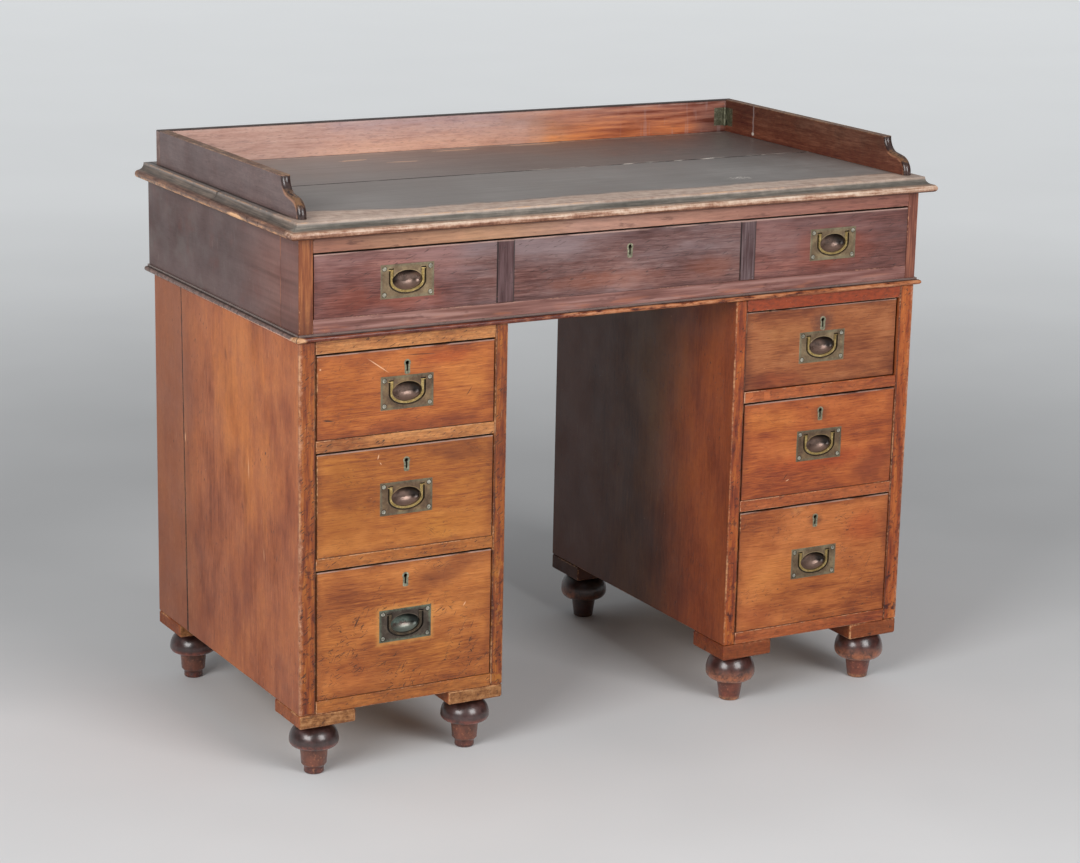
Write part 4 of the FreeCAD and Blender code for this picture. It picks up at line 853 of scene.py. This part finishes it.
def top_finish():
    g = Graph("writing_top_boards")
    seed = 511.0
    x, y, z = g.x, g.y, g.z
    yf = y - YF
    E = E_TOP
    off = (0.0 - yf).max(x.abs() - 505.0)      # how far outside the carcass faces
    w1 = g.noise(g.sc(120.0, seed), 3.0, 0.6)
    w2 = g.noise(g.sc(15.0, seed + 1), 4.0, 0.66)
    gr = g.noise(g.st("x", 200.0, 4.5, seed + 2), 4.0, 0.62)
    # front board grey-green, rear board browner
    fr = g.ramp(gr * 0.35 + w1 * 0.45 + w2 * 0.2, [(0.36, tone(119, 114, 110, E)), (0.5, tone(134, 129, 126, E)), (0.66, tone(150, 145, 142, E))])
    re = g.ramp(gr * 0.4 + w1 * 0.4 + w2 * 0.2, [(0.36, tone(101, 90, 86, E)), (0.5, tone(119, 108, 103, E)), (0.66, tone(138, 126, 120, E))])
    seam = yf - 265.5
    re = g.mix((x + (w1 - 0.5) * 200.0).sm(0.0, -260.0) * 0.92, re, times(g, fr, (1.06, 1.03, 1.02)))
    col = g.mix(seam.sm(-1.0, 1.0), fr, re)
    dim = (x + (w1 - 0.5) * 300.0).sm(60.0, 420.0) * yf.sm(150.0, 330.0)
    col = g.mix(dim * 0.72, col, tone(92, 82, 79, E))
    # worn pale edge where the dark coat has gone, along the front
    strip = yf + (w1 - 0.5) * 34.0 + (w2 - 0.5) * 16.0
    strip = strip - x.lin(-470.0, -330.0, 30.0, 0.0)
    bare = g.ramp(gr * 0.5 + w2 * 0.5, [(0.36, tone(158, 128, 112, E)), (0.5, tone(192, 168, 152, E)), (0.66, tone(216, 196, 180, E))])
    k = strip.sm(48.0, 32.0)
    col = g.mix(k * 0.85, col, times(g, bare, (1.08, 1.08, 1.08)))
    col = g.mix((strip - 44.0).abs().sm(7.0, 1.0) * 0.45 * w2.sm(0.35, 0.6), col, tone(110, 96, 88, E))
    ends = (x.abs() + (w2 - 0.5) * 16.0).sm(468.0, 486.0) * seam.lin(-240.0, 60.0, 0.9, 0.35)
    col = g.mix(ends * 0.5, col, tone(132, 118, 110, E))
    # the open joint, black, with its edges dirty
    js = seam.abs() + (w2 - 0.5) * 3.0
    col = g.mix(js.sm(3.6, 1.2) * g.noise(g.st("x", 60.0, 8.0, seed + 30), 3.0).sm(0.34, 0.5), col, rgb(24, 21, 20))
    # cove and nosing
    cove = off.sm(5.0, 6.2) * z.sm(779.0, 780.2)
    ln = g.noise(g.st("x", 60.0, 3.0, seed + 8), 4.0, 0.64)
    ls = g.noise(g.st("y", 60.0, 3.0, seed + 8), 4.0, 0.64)
    cc = g.ramp(w1 * 0.3 + w2 * 0.2 + ln * 0.5, [(0.36, tone(76, 73, 68)), (0.5, tone(112, 107, 100)), (0.66, tone(160, 150, 140))])
    cs = g.ramp(w1 * 0.3 + w2 * 0.2 + ls * 0.5, [(0.36, tone(66, 62, 58, E_LEFT)), (0.5, tone(96, 88, 82, E_LEFT)), (0.66, tone(134, 120, 109, E_LEFT))])
    on_side = (x.abs() - 505.0).sm(0.0, 3.0) * yf.sm(-4.0, 8.0)
    col = g.mix(cove, col, g.mix(on_side, cc, cs))
    arris = (off - 5.2).abs().sm(2.2, 0.6) * z.sm(788.0, 789.5)
    col = g.mix(arris * (w2 + (w1 - 0.5) * 0.8).sm(0.46, 0.62) * 0.8, col, tone(196, 158, 128))
    nose = z.sm(780.4, 779.2) * off.sm(4.0, 8.0)
    n4 = g.noise(g.sc(4.2, seed + 7), 3.0, 0.66)
    # painted highlight: the nosing's front is lighter towards its top
    tf = ln * 0.55 + w2 * 0.25 + n4 * 0.2 + z.lin(770.0, 778.0, -0.10, 0.06) + x.lin(-470.0, -250.0, -0.07, 0.0)
    nf = g.ramp(tf, [(0.34, tone(104, 68, 54)), (0.44, tone(160, 118, 96)), (0.52, tone(200, 168, 146)), (0.66, tone(232, 212, 192))])
    ts = ls * 0.55 + w2 * 0.25 + n4 * 0.2 + z.lin(770.0, 778.0, 0.04, -0.04)
    ns = g.ramp(ts, [(0.38, tone(80, 60, 54, E_LEFT)), (0.52, tone(118, 92, 80, E_LEFT)), (0.66, tone(184, 138, 106, E_LEFT))])
    col = g.mix(nose, col, g.mix(on_side, nf, ns))
    # painted shade: dark under the nosing and in the quirk where it meets the cove
    col = g.mix((z.sm(771.4, 769.8).max((z - 779.4).abs().sm(1.3, 0.4) * 0.7)) * nose * (1.0 - on_side) * 0.8, col, tone(92, 58, 40))
    low_rub = z.sm(774.5, 770.5) * nose * on_side * (w2 + (n4 - 0.5) * 0.4).sm(0.38, 0.6)
    col = g.mix(low_rub * 0.8, col, tone(216, 164, 120, E_LEFT))
    # chip out of the left end
    chip = g.vm("LENGTH", g.vm("MULTIPLY", g.vm("SUBTRACT", g.P, (-522.0, YF + 168.0, 772.0)), (1 / 9.0, 1 / 34.0, 1 / 5.0)))
    col = g.mix((chip + (n4 - 0.5) * 0.7).sm(1.0, 0.6), col, tone(220, 172, 128, E_LEFT))
    # paper and glue left on the rear board and along the open joint
    flat = z.sm(789.6, 790.3)
    uv = g.uv(x, yf)
    pp = (g.noise(g.sc(9.0, seed + 36), 4.0, 0.7) - 0.5) * 1.6
    pk = (g.ell(uv, -215.0, 447.0, 26.0, 7.0, 4.0) + pp).sm(1.0, 0.6).max((g.ell(uv, -150.0, 410.0, 30.0, 6.0, -3.0) + pp).sm(1.0, 0.6))
    pk = pk.max((g.ell(uv, -25.0, 483.0, 44.0, 6.0, 0.0) + pp).sm(1.0, 0.6)).max((g.ell(uv, 120.0, 492.0, 60.0, 5.0, 0.0) + pp).sm(1.0, 0.6))
    col = g.mix(pk * flat * 0.9, col, tone(190, 164, 142, E))
    line = (seam - 2.0).abs().sm(4.2, 0.8) * g.noise(g.st("x", 30.0, 5.0, seed + 32), 3.0).sm(0.52, 0.62) * x.sm(-120.0, 0.0)
    fk1 = (g.ell(uv, 244.0, 89.0, 26.0, 14.0, 0.0) + pp * 1.2).sm(0.9, 0.5) * n4.sm(0.5, 0.6)
    col = g.mix(line.max(fk1) * flat * 0.8, col, tone(222, 214, 204, E))
    # painted shade: a black line in the crease under the gallery boards
    base = (x.abs() - 501.0).abs().sm(w2.lin(0.3, 0.7, 2.0, 4.6), 0.6) * yf.sm(14.0, 60.0)
    base = base.max((yf - 505.5).abs().sm(w2.lin(0.3, 0.7, 2.4, 6.0), 0.6) * x.abs().sm(488.0, 484.0))
    col = g.mix(base * flat * 0.85, col, rgb(22, 18, 17))
    dust = (yf - 498.0).sm(-7.0, 1.0) * w2.sm(0.36, 0.6) * x.abs().sm(486.0, 470.0)
    col = g.mix(dust * (1.0 - base) * flat * 0.6, col, tone(176, 160, 150, E))
    sp = specks(g, 26.0, 0.055, seed + 33, 0.3)
    col = g.mix(sp * flat * 0.6, col, tone(206, 200, 192, E))
    sc1 = dashes(g, "x", "z", 100.0, 1.6, 0.66, 0.76, seed + 34, 14.0)
    sc2 = dashes(g, "x", "z", 80.0, 1.4, 0.67, 0.77, seed + 35, -22.0)
    col = g.mix(sc1.max(sc2) * flat * 0.2, col, tone(168, 164, 157, E))
    rough = w1.lin(0.3, 0.7, 0.30, 0.44) + w2.lin(0.3, 0.7, 0.0, 0.08) + k * 0.08 - nose * 0.10
    h = gr * 0.10 + w2 * 0.12 + w1 * 0.5
    return g.done(col, rough, h)


ob = rebuilt("desk_top_boards", 0.8, lambda c, lo, hi, e: c.z > 788.0 and c.y > YF + 230.0, only_box=False, angle=50.0)
finish_of(ob, top_finish())


# --------------------------------------------------------------------- gallery
def gallery_finish(which, seed):
    g = Graph("mahogany_gallery_" + which)
    x, y, z = g.x, g.y, g.z
    yf = y - YF
    E = E_LEFT
    axis = "x" if which == "back" else "y"
    if which == "back":
        col, h, pore, f1, f3 = wood(g, axis, seed, tone(182, 138, 124), tone(208, 168, 154), tone(220, 184, 170), fig=5.0)
        along = x + (g.noise(g.sc(80.0, seed + 30), 3.0) - 0.5) * 260.0
        red = g.ramp(g.noise(g.st("x", 110.0, 6.0, seed + 31), 4.0, 0.62), [(0.34, tone(122, 70, 58)), (0.5, tone(164, 110, 96)), (0.66, tone(194, 136, 112))])
        col = g.mix(along.sm(-60.0, 330.0), col, red)
        blue = g.noise(g.st("x", 36.0, 8.0, seed + 32), 4.0, 0.66).sm(0.56, 0.68)
        col = g.mix(blue * 0.28, col, tone(130, 104, 104))
        dk = g.noise(g.st("x", 60.0, 12.0, seed + 36), 4.0, 0.66).sm(0.56, 0.7)
        col = g.mix(dk * 0.28, col, times(g, col, (0.6, 0.5, 0.5)))
        # redder and deeper towards the foot of the board, with painted shade making the foot of the right corner black
        foot = z.lin(838.0, 798.0) + (g.noise(g.st("x", 50.0, 10.0, seed + 39), 4.0, 0.62) - 0.5) * 0.9
        mid = along.sm(-320.0, -200.0) * along.sm(120.0, 40.0)
        col = g.mix(mid, col, g.mix(foot, times(g, col, (0.84, 0.88, 1.02)), times(g, col, (1.20, 1.10, 0.98))))
        warm = along.sm(60.0, 180.0) * x.sm(450.0, 400.0)
        col = g.mix(warm, col, g.mix(foot, times(g, col, (1.16, 1.17, 1.16)), times(g, col, (1.48, 1.08, 0.52))))
        col = g.mix(x.sm(410.0, 470.0) * foot * 0.85, col, times(g, col, (0.42, 0.42, 0.46)))
        drip = dashes(g, "z", "y", 50.0, 5.0, 0.62, 0.74, seed + 33, 0.0) * x.sm(260.0, 330.0)
        col = g.mix(drip * 0.18, col, tone(190, 176, 176))
        outside = y.sm(YF + 519.0, YF + 520.5).max(x.abs().sm(498.8, 499.6))
        on = g.noise(g.sc(20.0, seed + 37), 4.0, 0.65)
        col = g.mix(outside * 0.9, col, g.ramp(on, [(0.34, tone(84, 66, 62, E)), (0.66, tone(124, 104, 98, E))]))
        top = z.sm(839.6, 841.0)
        col = g.mix(top * 0.95, col, g.ramp(on, [(0.36, rgb(30, 22, 21)), (0.64, rgb(66, 50, 46))]))
        pale = (z - 838.6).abs().sm(1.5, 0.3) * y.sm(YF + 510.0, YF + 506.0) * g.noise(g.sc(40.0, seed + 35), 3.0).sm(0.35, 0.6)
        col = g.mix(pale * 0.5, col, tone(214, 190, 178))
    else:
        s = -1.0 if which == "left" else 1.0
        outer = (x * s).sm(494.0, 496.0)
        if which == "left":
            col, h, pore, f1, f3 = wood(g, axis, seed, tone(88, 72, 70, E), tone(106, 89, 87, E), tone(122, 104, 101, E), fig=6.0, mix=(0.25, 0.25, 0.5))
            inner = rgb(120, 72, 56)
        else:
            col, h, pore, f1, f3 = wood(g, axis, seed, tone(68, 42, 36, 0.6), tone(92, 62, 53, 0.6), tone(122, 86, 72, 0.6), fig=6.0)
            inner = rgb(104, 58, 44)
        brown = g.noise(g.sc(50.0, seed + 30), 4.0, 0.62).sm(0.5, 0.68)
        col = g.mix(brown * 0.4, col, times(g, col, (0.94, 0.78, 0.74)))
        if which == "left":
            col = g.mix((1.0 - outer) * 0.6, col, g.mix(f1, g_scale(inner, 0.6), g_scale(inner, 1.4)))
        mott = g.noise(g.sc(6.0, seed + 38), 4.0, 0.7)
        col = g.shade(col, mott.lin(0.28, 0.72, 0.84, 1.16))
        if which == "left":
            col = times(g, col, (0.84, 0.83, 0.83))
        else:
            col = g.mix(z.lin(798.0, 832.0, 0.25, 1.0) + (brown - 0.5) * 0.5, times(g, col, (1.08, 0.98, 0.92)), times(g, col, (0.76, 0.92, 1.0)))
        # rubbed top edge
        top = z.sm(840.4, 841.6)
        tn = g.noise(g.st("y", 40.0, 6.0, seed + 31), 4.0, 0.66)
        col = g.mix(top * 0.9, col, g.ramp(tn * 0.5 + mott * 0.5, [(0.36, tone(84, 58, 48)), (0.5, tone(140, 104, 82)), (0.62, tone(196, 156, 120))]))
        # glossy dark front end, rubbed along its inner arris
        ny = g.nxyz()[1]
        nz = g.nxyz()[2]
        end = ny.sm(-0.10, -0.34).max(nz.sm(0.25, 0.6)) * yf.sm(80.0, 72.0) * z.sm(841.6, 840.6)
        gold = (tn + (mott - 0.5) * 0.5).sm(0.38, 0.56) * (z - 815.0).abs().sm(12.0, 4.0)
        col = g.mix(end * 0.88, col, g.mix(gold * 0.5, g.ramp(mott, [(0.34, rgb(30, 24, 24)), (0.66, rgb(66, 54, 52))]), tone(168, 124, 84)))
        rim = g.attr("arris") * (ny.sm(-0.42, -0.2) * nz.sm(0.5, 0.3)) * z.sm(832.0, 824.0)
        col = g.mix(rim * tn.sm(0.40, 0.58) * 0.55, col, tone(200, 146, 110))
        sp = specks(g, 15.0, 0.075, seed + 42, 0.3)
        col = g.mix(sp * 0.6, col, tone(206, 190, 168))
        if which == "right":
            # a pale run from the top edge, ending in a drop
            run = (yf - 424.0 + (g.noise(g.sc(16.0, seed + 36), 2.0) - 0.5) * 5.0).abs().sm(2.6, 0.8) * (z.sm(795.0, 799.0)) * (1.0 - outer)
            drop = g.vm("LENGTH", g.vm("MULTIPLY", g.vm("SUBTRACT", g.P, (486.0, YF + 424.0, 797.0)), (1 / 4.0, 1 / 4.6, 1 / 3.4))).sm(1.0, 0.5)
            col = g.mix(run * 0.45, col, tone(190, 178, 176))
            col = g.mix(drop * 0.9, col, tone(226, 218, 208))
    col, k = worn(g, col, tone(200, 150, 110), 1.8, seed, -0.1 if which == "back" else -0.3, 5.0, arris=which == "back")
    rough = g.noise(g.sc(40.0, seed + 50), 3.0).lin(0.3, 0.7, 0.34, 0.48)
    if which != "back":
        rough = rough - end * 0.2
    return g.done(col, rough, h)


ob = rebuilt("gallery_back_board", 1.2, lambda c, lo, hi, e: hi.x - lo.x > 500.0)
finish_of(ob, gallery_finish("back", 531.0))
for i, side in enumerate(("left", "right")):
    ob = rebuilt("gallery_%s_board" % side, 6.6, lambda c, lo, hi, e: abs(e.x) < 1.0 and c.z > 790.8 and c.y < YF + 100.0 and hi.x - lo.x > 10.0 and c.z < 841.5, only_box=False, angle=40.0, seg=8, split=16.0, wobble=0.0, clamp=False)
    finish_of(ob, gallery_finish(side, 541.0 + 13.0 * i))


# ------------------------------------------------------- linings and back boards
def plain_wood(name, axis, seed, dark, mid, light, rough=0.62, stain=0.35):
    g = Graph(name)
    col, h, pore, f1, f3 = wood(g, axis, seed, dark, mid, light, fig=11.0, fib=1.2)
    st = g.noise(g.sc(70.0, seed + 31), 4.0, 0.6).sm(0.5, 0.75)
    col = g.mix(st * stain, col, g.shade(col, 0.5))
    e = g.edge(4.0)
    col = g.mix(e * g.noise(g.sc(10.0, seed + 32), 3.0).sm(0.35, 0.65) * 0.5, col, g.shade(col, 0.45))
    knots = specks(g, 120.0, 0.09, seed + 33, 0.5)
    col = g.mix(knots * 0.6, col, g.shade(col, 0.35))
    return g.done(col, f3.lin(0.3, 0.7, rough - 0.06, rough + 0.1), h * 1.5, spec=0.35)


lining = plain_wood("oak_drawer_linings", "y", 601.0, rgb(128, 92, 58), rgb(176, 138, 96), rgb(206, 172, 128))
inner = plain_wood("pine_inside", "y", 611.0, rgb(122, 88, 58), rgb(166, 126, 86), rgb(196, 158, 114))
backs = plain_wood("stained_back_boards", "z", 621.0, rgb(72, 48, 36), rgb(112, 78, 56), rgb(146, 106, 76), 0.6, 0.5)
for side in ("left", "right"):
    for level in LEVELS:
        keep("%s_%s_drawer_box" % (side, level), lining)
    keep(side + "_pedestal_inner_boards", inner)
    keep(side + "_pedestal_back", backs)
keep("frieze_drawer_box", lining)
keep("top_runners", inner)
keep("top_back_panel", backs)


# ----------------------------------------------------------------------- metal
def brass_finish(name, hx, hz, key, seed, base, bright, dull, cup, verdigris=0.25, frieze=False, dy=0.0, low=None):
    """Sunk handle plates, their screws, the keyhole plate and the lock case."""
    g = Graph(name)
    x, y, z = g.x, g.y, g.z
    dx = ((x - 3.75).abs() - 348.75) if frieze else (x - hx)
    dz = z - hz
    yy = y - (YF + dy)
    n1 = g.noise(g.sc(22.0, seed), 4.0, 0.6)
    n2 = g.noise(g.sc(3.4, seed + 1), 3.0, 0.6)
    t = n1 * 0.75 + n2 * 0.25
    col = g.ramp(t, [(0.32, dull), (0.5, base), (0.7, bright)])
    # grime against the recess and round the edge of the plate
    ax, az = dx.abs(), dz.abs()
    out = (ax - 40.2).max(az - 23.5)
    rimd = (out + (n1 - 0.5) * 6.0).sm(-5.0, -0.5)
    col = g.mix(rimd * 0.35, col, g_scale(dull, 0.7))
    green = (out + (n2 - 0.5) * 8.0 + (n1 - 0.5) * 10.0).sm(-6.0, 1.0)
    col = g.mix(green * verdigris, col, rgb(112, 128, 106))
    # painted shade: the sunk bed of the bail is darkened nearly to black, the finger cup less so
    deep = yy.sm(0.7, 1.5)
    col = g.mix(deep * 0.9, col, g_scale(dull, 0.3))
    incup = g.ell(g.uv(dx, dz), 0.0, 1.2, 21.9, 13.5)
    ck = incup.sm(1.03, 0.97) * yy.sm(-0.2, 1.2)
    cn = g.noise(g.sc(8.0, seed + 3), 4.0, 0.62)
    cc = g.ramp(cn, [(0.34, g_scale(cup, 0.6)), (0.5, cup), (0.68, g_scale(cup, 1.4))])
    if low:
        cc = g.mix((dz + (cn - 0.5) * 16.0).sm(1.5, -4.5) * 0.9, cc, low)
    # painted shade under the upper lip; on the lower curve, partly rubbed metal and partly a painted highlight
    under = incup.sm(0.2, 0.75) * (dz * 0.8 + dx * 0.42).sm(-0.5, 5.0)
    cc = g.mix(under * 0.95, cc, g_scale(cup, 0.06))
    cc = g.mix(dz.sm(-1.0, -9.0) * 0.6, cc, g_scale(cup, 2.0))
    col = g.mix(ck, col, cc)
    # rubbed lip of the cup
    lip = (incup - 1.0).abs().sm(0.10, 0.02) * yy.sm(1.2, 0.2)
    col = g.mix(lip * 0.85, col, bright)
    # screws
    sd = g.vm("LENGTH", g.uv(ax - 34.6, az - 17.8))
    scr = sd.sm(3.3, 2.8)
    col = g.mix(scr * 0.9, col, g.ramp(n2, [(0.35, rgb(112, 112, 100)), (0.6, rgb(196, 194, 180))]))
    col = g.mix((sd - 3.4).abs().sm(0.8, 0.2) * 0.7, col, g_scale(dull, 0.3))
    # keyhole plate, paler and greener
    kx, kz = key
    ke = g.ell(g.uv(x - kx, z - kz), 0.0, 0.0, 7.5, 13.0).sm(1.0, 0.9) * yy.sm(3.0, 2.0)
    col = g.mix(ke * 0.85, col, g.ramp(n2, [(0.34, rgb(92, 92, 76)), (0.55, rgb(138, 138, 116)), (0.7, rgb(174, 174, 150))]))
    e = g.edge(0.9)
    col = g.mix(e * n1.sm(0.3, 0.55) * 0.7, col, bright)
    rough = t.lin(0.3, 0.7, 0.44, 0.32) + rimd * 0.1 - ck * 0.08
    metal = 0.92 - green * verdigris * 0.6 - rimd * 0.25 - ck * 0.12 - deep * 0.3
    h = n2 * 0.06 + n1 * 0.12
    return g.done(col, rough, h, metal=metal)


GOLD = (rgb(136, 116, 92), rgb(178, 156, 120), rgb(100, 82, 66))
BROWN = (rgb(122, 100, 80), rgb(164, 138, 100), rgb(88, 72, 60))
GREY = (rgb(88, 78, 70), rgb(120, 108, 94), rgb(66, 58, 53))
CUP = rgb(106, 85, 75)
for i, (key, d) in enumerate(FRONTS.items()):
    side, level = key.split("_")
    z0, z1, hz = LEVELS[level]
    cx = -344.0 if side == "left" else 344.0
    tones = GREY if key == "left_bottom" else (BROWN if level == "middle" or key == "left_top" else GOLD)
    cup = rgb(92, 104, 96) if key == "left_bottom" else CUP
    keep(key + "_drawer_brass", brass_finish("brass_" + key, cx, hz, (cx, z1 - 26.0), 701.0 + 9.0 * i, *tones, cup,
                                             0.6 if key == "left_bottom" else 0.3, dy=4.0 if key == "right_top" else 0.0,
                                             low=rgb(96, 72, 66) if key == "left_bottom" else None))
keep("frieze_drawer_brass", brass_finish("brass_frieze", 0.0, 700.0, (4.5, 715.5), 771.0, *GOLD, CUP, 0.3, True))


def metal_finish(name, seed, dull, mid, bright, metal=0.95, rough=(0.42, 0.26), edge=0.8):
    g = Graph(name)
    n1 = g.noise(g.sc(9.0, seed), 4.0, 0.6)
    n2 = g.noise(g.sc(2.6, seed + 1), 3.0, 0.6)
    t = n1 * 0.6 + n2 * 0.4
    col = g.ramp(t, [(0.34, dull), (0.52, mid), (0.7, bright)])
    e = g.edge(0.8)
    col = g.mix(e * edge, col, bright)
    return g.done(col, t.lin(0.3, 0.7, *rough), n2 * 0.05 + n1 * 0.1, metal=t.lin(0.3, 0.5, metal - 0.15, metal))


bail = metal_finish("brass_bails", 801.0, rgb(116, 94, 58), rgb(172, 146, 92), rgb(224, 202, 146))
dark_bail = metal_finish("brass_dark_bail", 811.0, rgb(62, 55, 47), rgb(88, 77, 64), rgb(132, 114, 90), edge=0.5)
steel = metal_finish("lock_steel", 821.0, rgb(66, 62, 58), rgb(104, 100, 94), rgb(150, 146, 138), rough=(0.5, 0.34))
hinge = metal_finish("brass_hinges", 831.0, rgb(82, 82, 66), rgb(118, 118, 98), rgb(170, 168, 146), metal=0.8, rough=(0.55, 0.4))
for key in FRONTS:
    keep(key + "_drawer_bail", dark_bail if key == "left_bottom" else bail)
    keep(key + "_drawer_lock_bolt", steel)
keep("frieze_drawer_left_bail", bail)
keep("frieze_drawer_right_bail", bail)
keep("frieze_drawer_lock_bolt", steel)
for n in ("gallery_hinge_fixed_leaves", "gallery_hinge_left_leaf", "gallery_hinge_right_leaf"):
    keep(n, hinge)


# ---------------------------------------------------------- floor, light, camera
def stage_floor():
    me = bpy.data.meshes.new("studio_floor")
    n, r = 96, 60.0
    ring = [(r * math.cos(2 * math.pi * i / n), r * math.sin(2 * math.pi * i / n), 0.0) for i in range(n)]
    me.from_pydata(ring, [], [list(range(n))])
    ob = bpy.data.objects.new("studio_floor", me)
    bpy.context.scene.collection.objects.link(ob)
    g = Graph("studio_floor")
    flat = g.vm("MULTIPLY", g.P, (1.0, 1.0, 0.0))
    r = g.vm("LENGTH", flat)
    soft = g.noise(g.sc(420.0, 5.0), 2.0)
    col = g.ramp(soft, [(0.3, rgb(216, 217, 218)), (0.7, rgb(222, 223, 224))])
    g.done(col, soft.lin(0.3, 0.7, 0.62, 0.72), spec=0.25)
    # the far sweep has light of its own
    lit = g.ramp(r * (1.0 / 11000.0), [(0.118, (0, 0, 0, 1)), (0.19, (0.10,) * 3 + (1,)), (0.29, (0.26,) * 3 + (1,)),
                                       (0.40, (0.38,) * 3 + (1,)), (0.627, (0.44,) * 3 + (1,)), (1.0, (0.49,) * 3 + (1,))])
    g.b.inputs["Emission Color"].default_value = (0.955, 0.985, 1.0, 1.0)
    g.put(g.b.inputs["Emission Strength"], lit)
    finish_of(ob, g.mat)


stage_floor()

world = bpy.data.worlds.new("studio")
bpy.context.scene.world = world
world.use_nodes = True
wt = world.node_tree
bg = wt.nodes["Background"]
bg.inputs["Color"].default_value = (0.97, 0.985, 1.0, 1.0)
# dim room, with a lit backdrop low behind the desk and some light from above
way = wt.nodes.new("ShaderNodeTexCoord")
sep = wt.nodes.new("ShaderNodeSeparateXYZ")
wt.links.new(way.outputs["Generated"], sep.inputs[0])


def world_range(sock, a, b, c, d):
    n = wt.nodes.new("ShaderNodeMapRange")
    n.interpolation_type = "SMOOTHSTEP"
    wt.links.new(sock, n.inputs[0])
    for i, v in enumerate((a, b, c, d)):
        n.inputs[i + 1].default_value = v
    return n.outputs[0]


def world_math(op, a, b):
    n = wt.nodes.new("ShaderNodeMath")
    n.operation = op
    wt.links.new(a, n.inputs[0])
    wt.links.new(b, n.inputs[1])
    return n.outputs[0]


drop = world_math("MULTIPLY", world_range(sep.outputs[1], 0.25, 0.8, 0.0, 0.3), world_range(sep.outputs[2], 0.75, 0.3, 0.0, 1.0))
room = world_range(sep.outputs[2], 0.25, 0.95, 0.03, 0.42)
wt.links.new(world_math("ADD", drop, room), bg.inputs["Strength"])


def softbox(name, at, aim, size, power, colour=(1.0, 0.99, 0.985)):
    d = bpy.data.lights.new(name, "AREA")
    d.shape = "RECTANGLE"
    d.size, d.size_y = size
    d.energy = power
    d.color = colour
    o = bpy.data.objects.new(name, d)
    bpy.context.scene.collection.objects.link(o)
    o.location = at
    o.rotation_mode = "QUATERNION"
    o.rotation_quaternion = (Vector(aim) - Vector(at)).to_track_quat("-Z", "Y")
    return o


softbox("softbox_left", (-3.0, -1.74, 2.0), (0.0, 0.0, 0.45), (1.7, 1.7), 84.0)
softbox("softbox_front", (0.62, -3.42, 2.0), (0.0, 0.0, 0.45), (1.7, 1.7), 74.0)

az, el, roll = math.radians(-29.35), math.radians(14.42), math.radians(1.21)
back = Vector((math.sin(az) * math.cos(el), -math.cos(az) * math.cos(el), math.sin(el)))
right = (-back).cross(Vector((0, 0, 1))).normalized()
up = right.cross(-back)
r2 = math.cos(roll) * right + math.sin(roll) * up
u2 = -math.sin(roll) * right + math.cos(roll) * up
cam_data = bpy.data.cameras.new("camera")
cam = bpy.data.objects.new("camera", cam_data)
bpy.context.scene.collection.objects.link(cam)
m = Matrix((r2, u2, back)).transposed().to_4x4()
m.translation = Vector((-1.97091, -3.52916, 1.42989))
cam.matrix_world = m
cam_data.sensor_fit = "HORIZONTAL"
cam_data.sensor_width = 36.0
cam_data.lens = 2747.94 / 1080.0 * 36.0
cam_data.clip_start, cam_data.clip_end = 0.1, 200.0
bpy.context.scene.camera = cam
bpy.context.scene.view_settings.view_transform = "Standard"
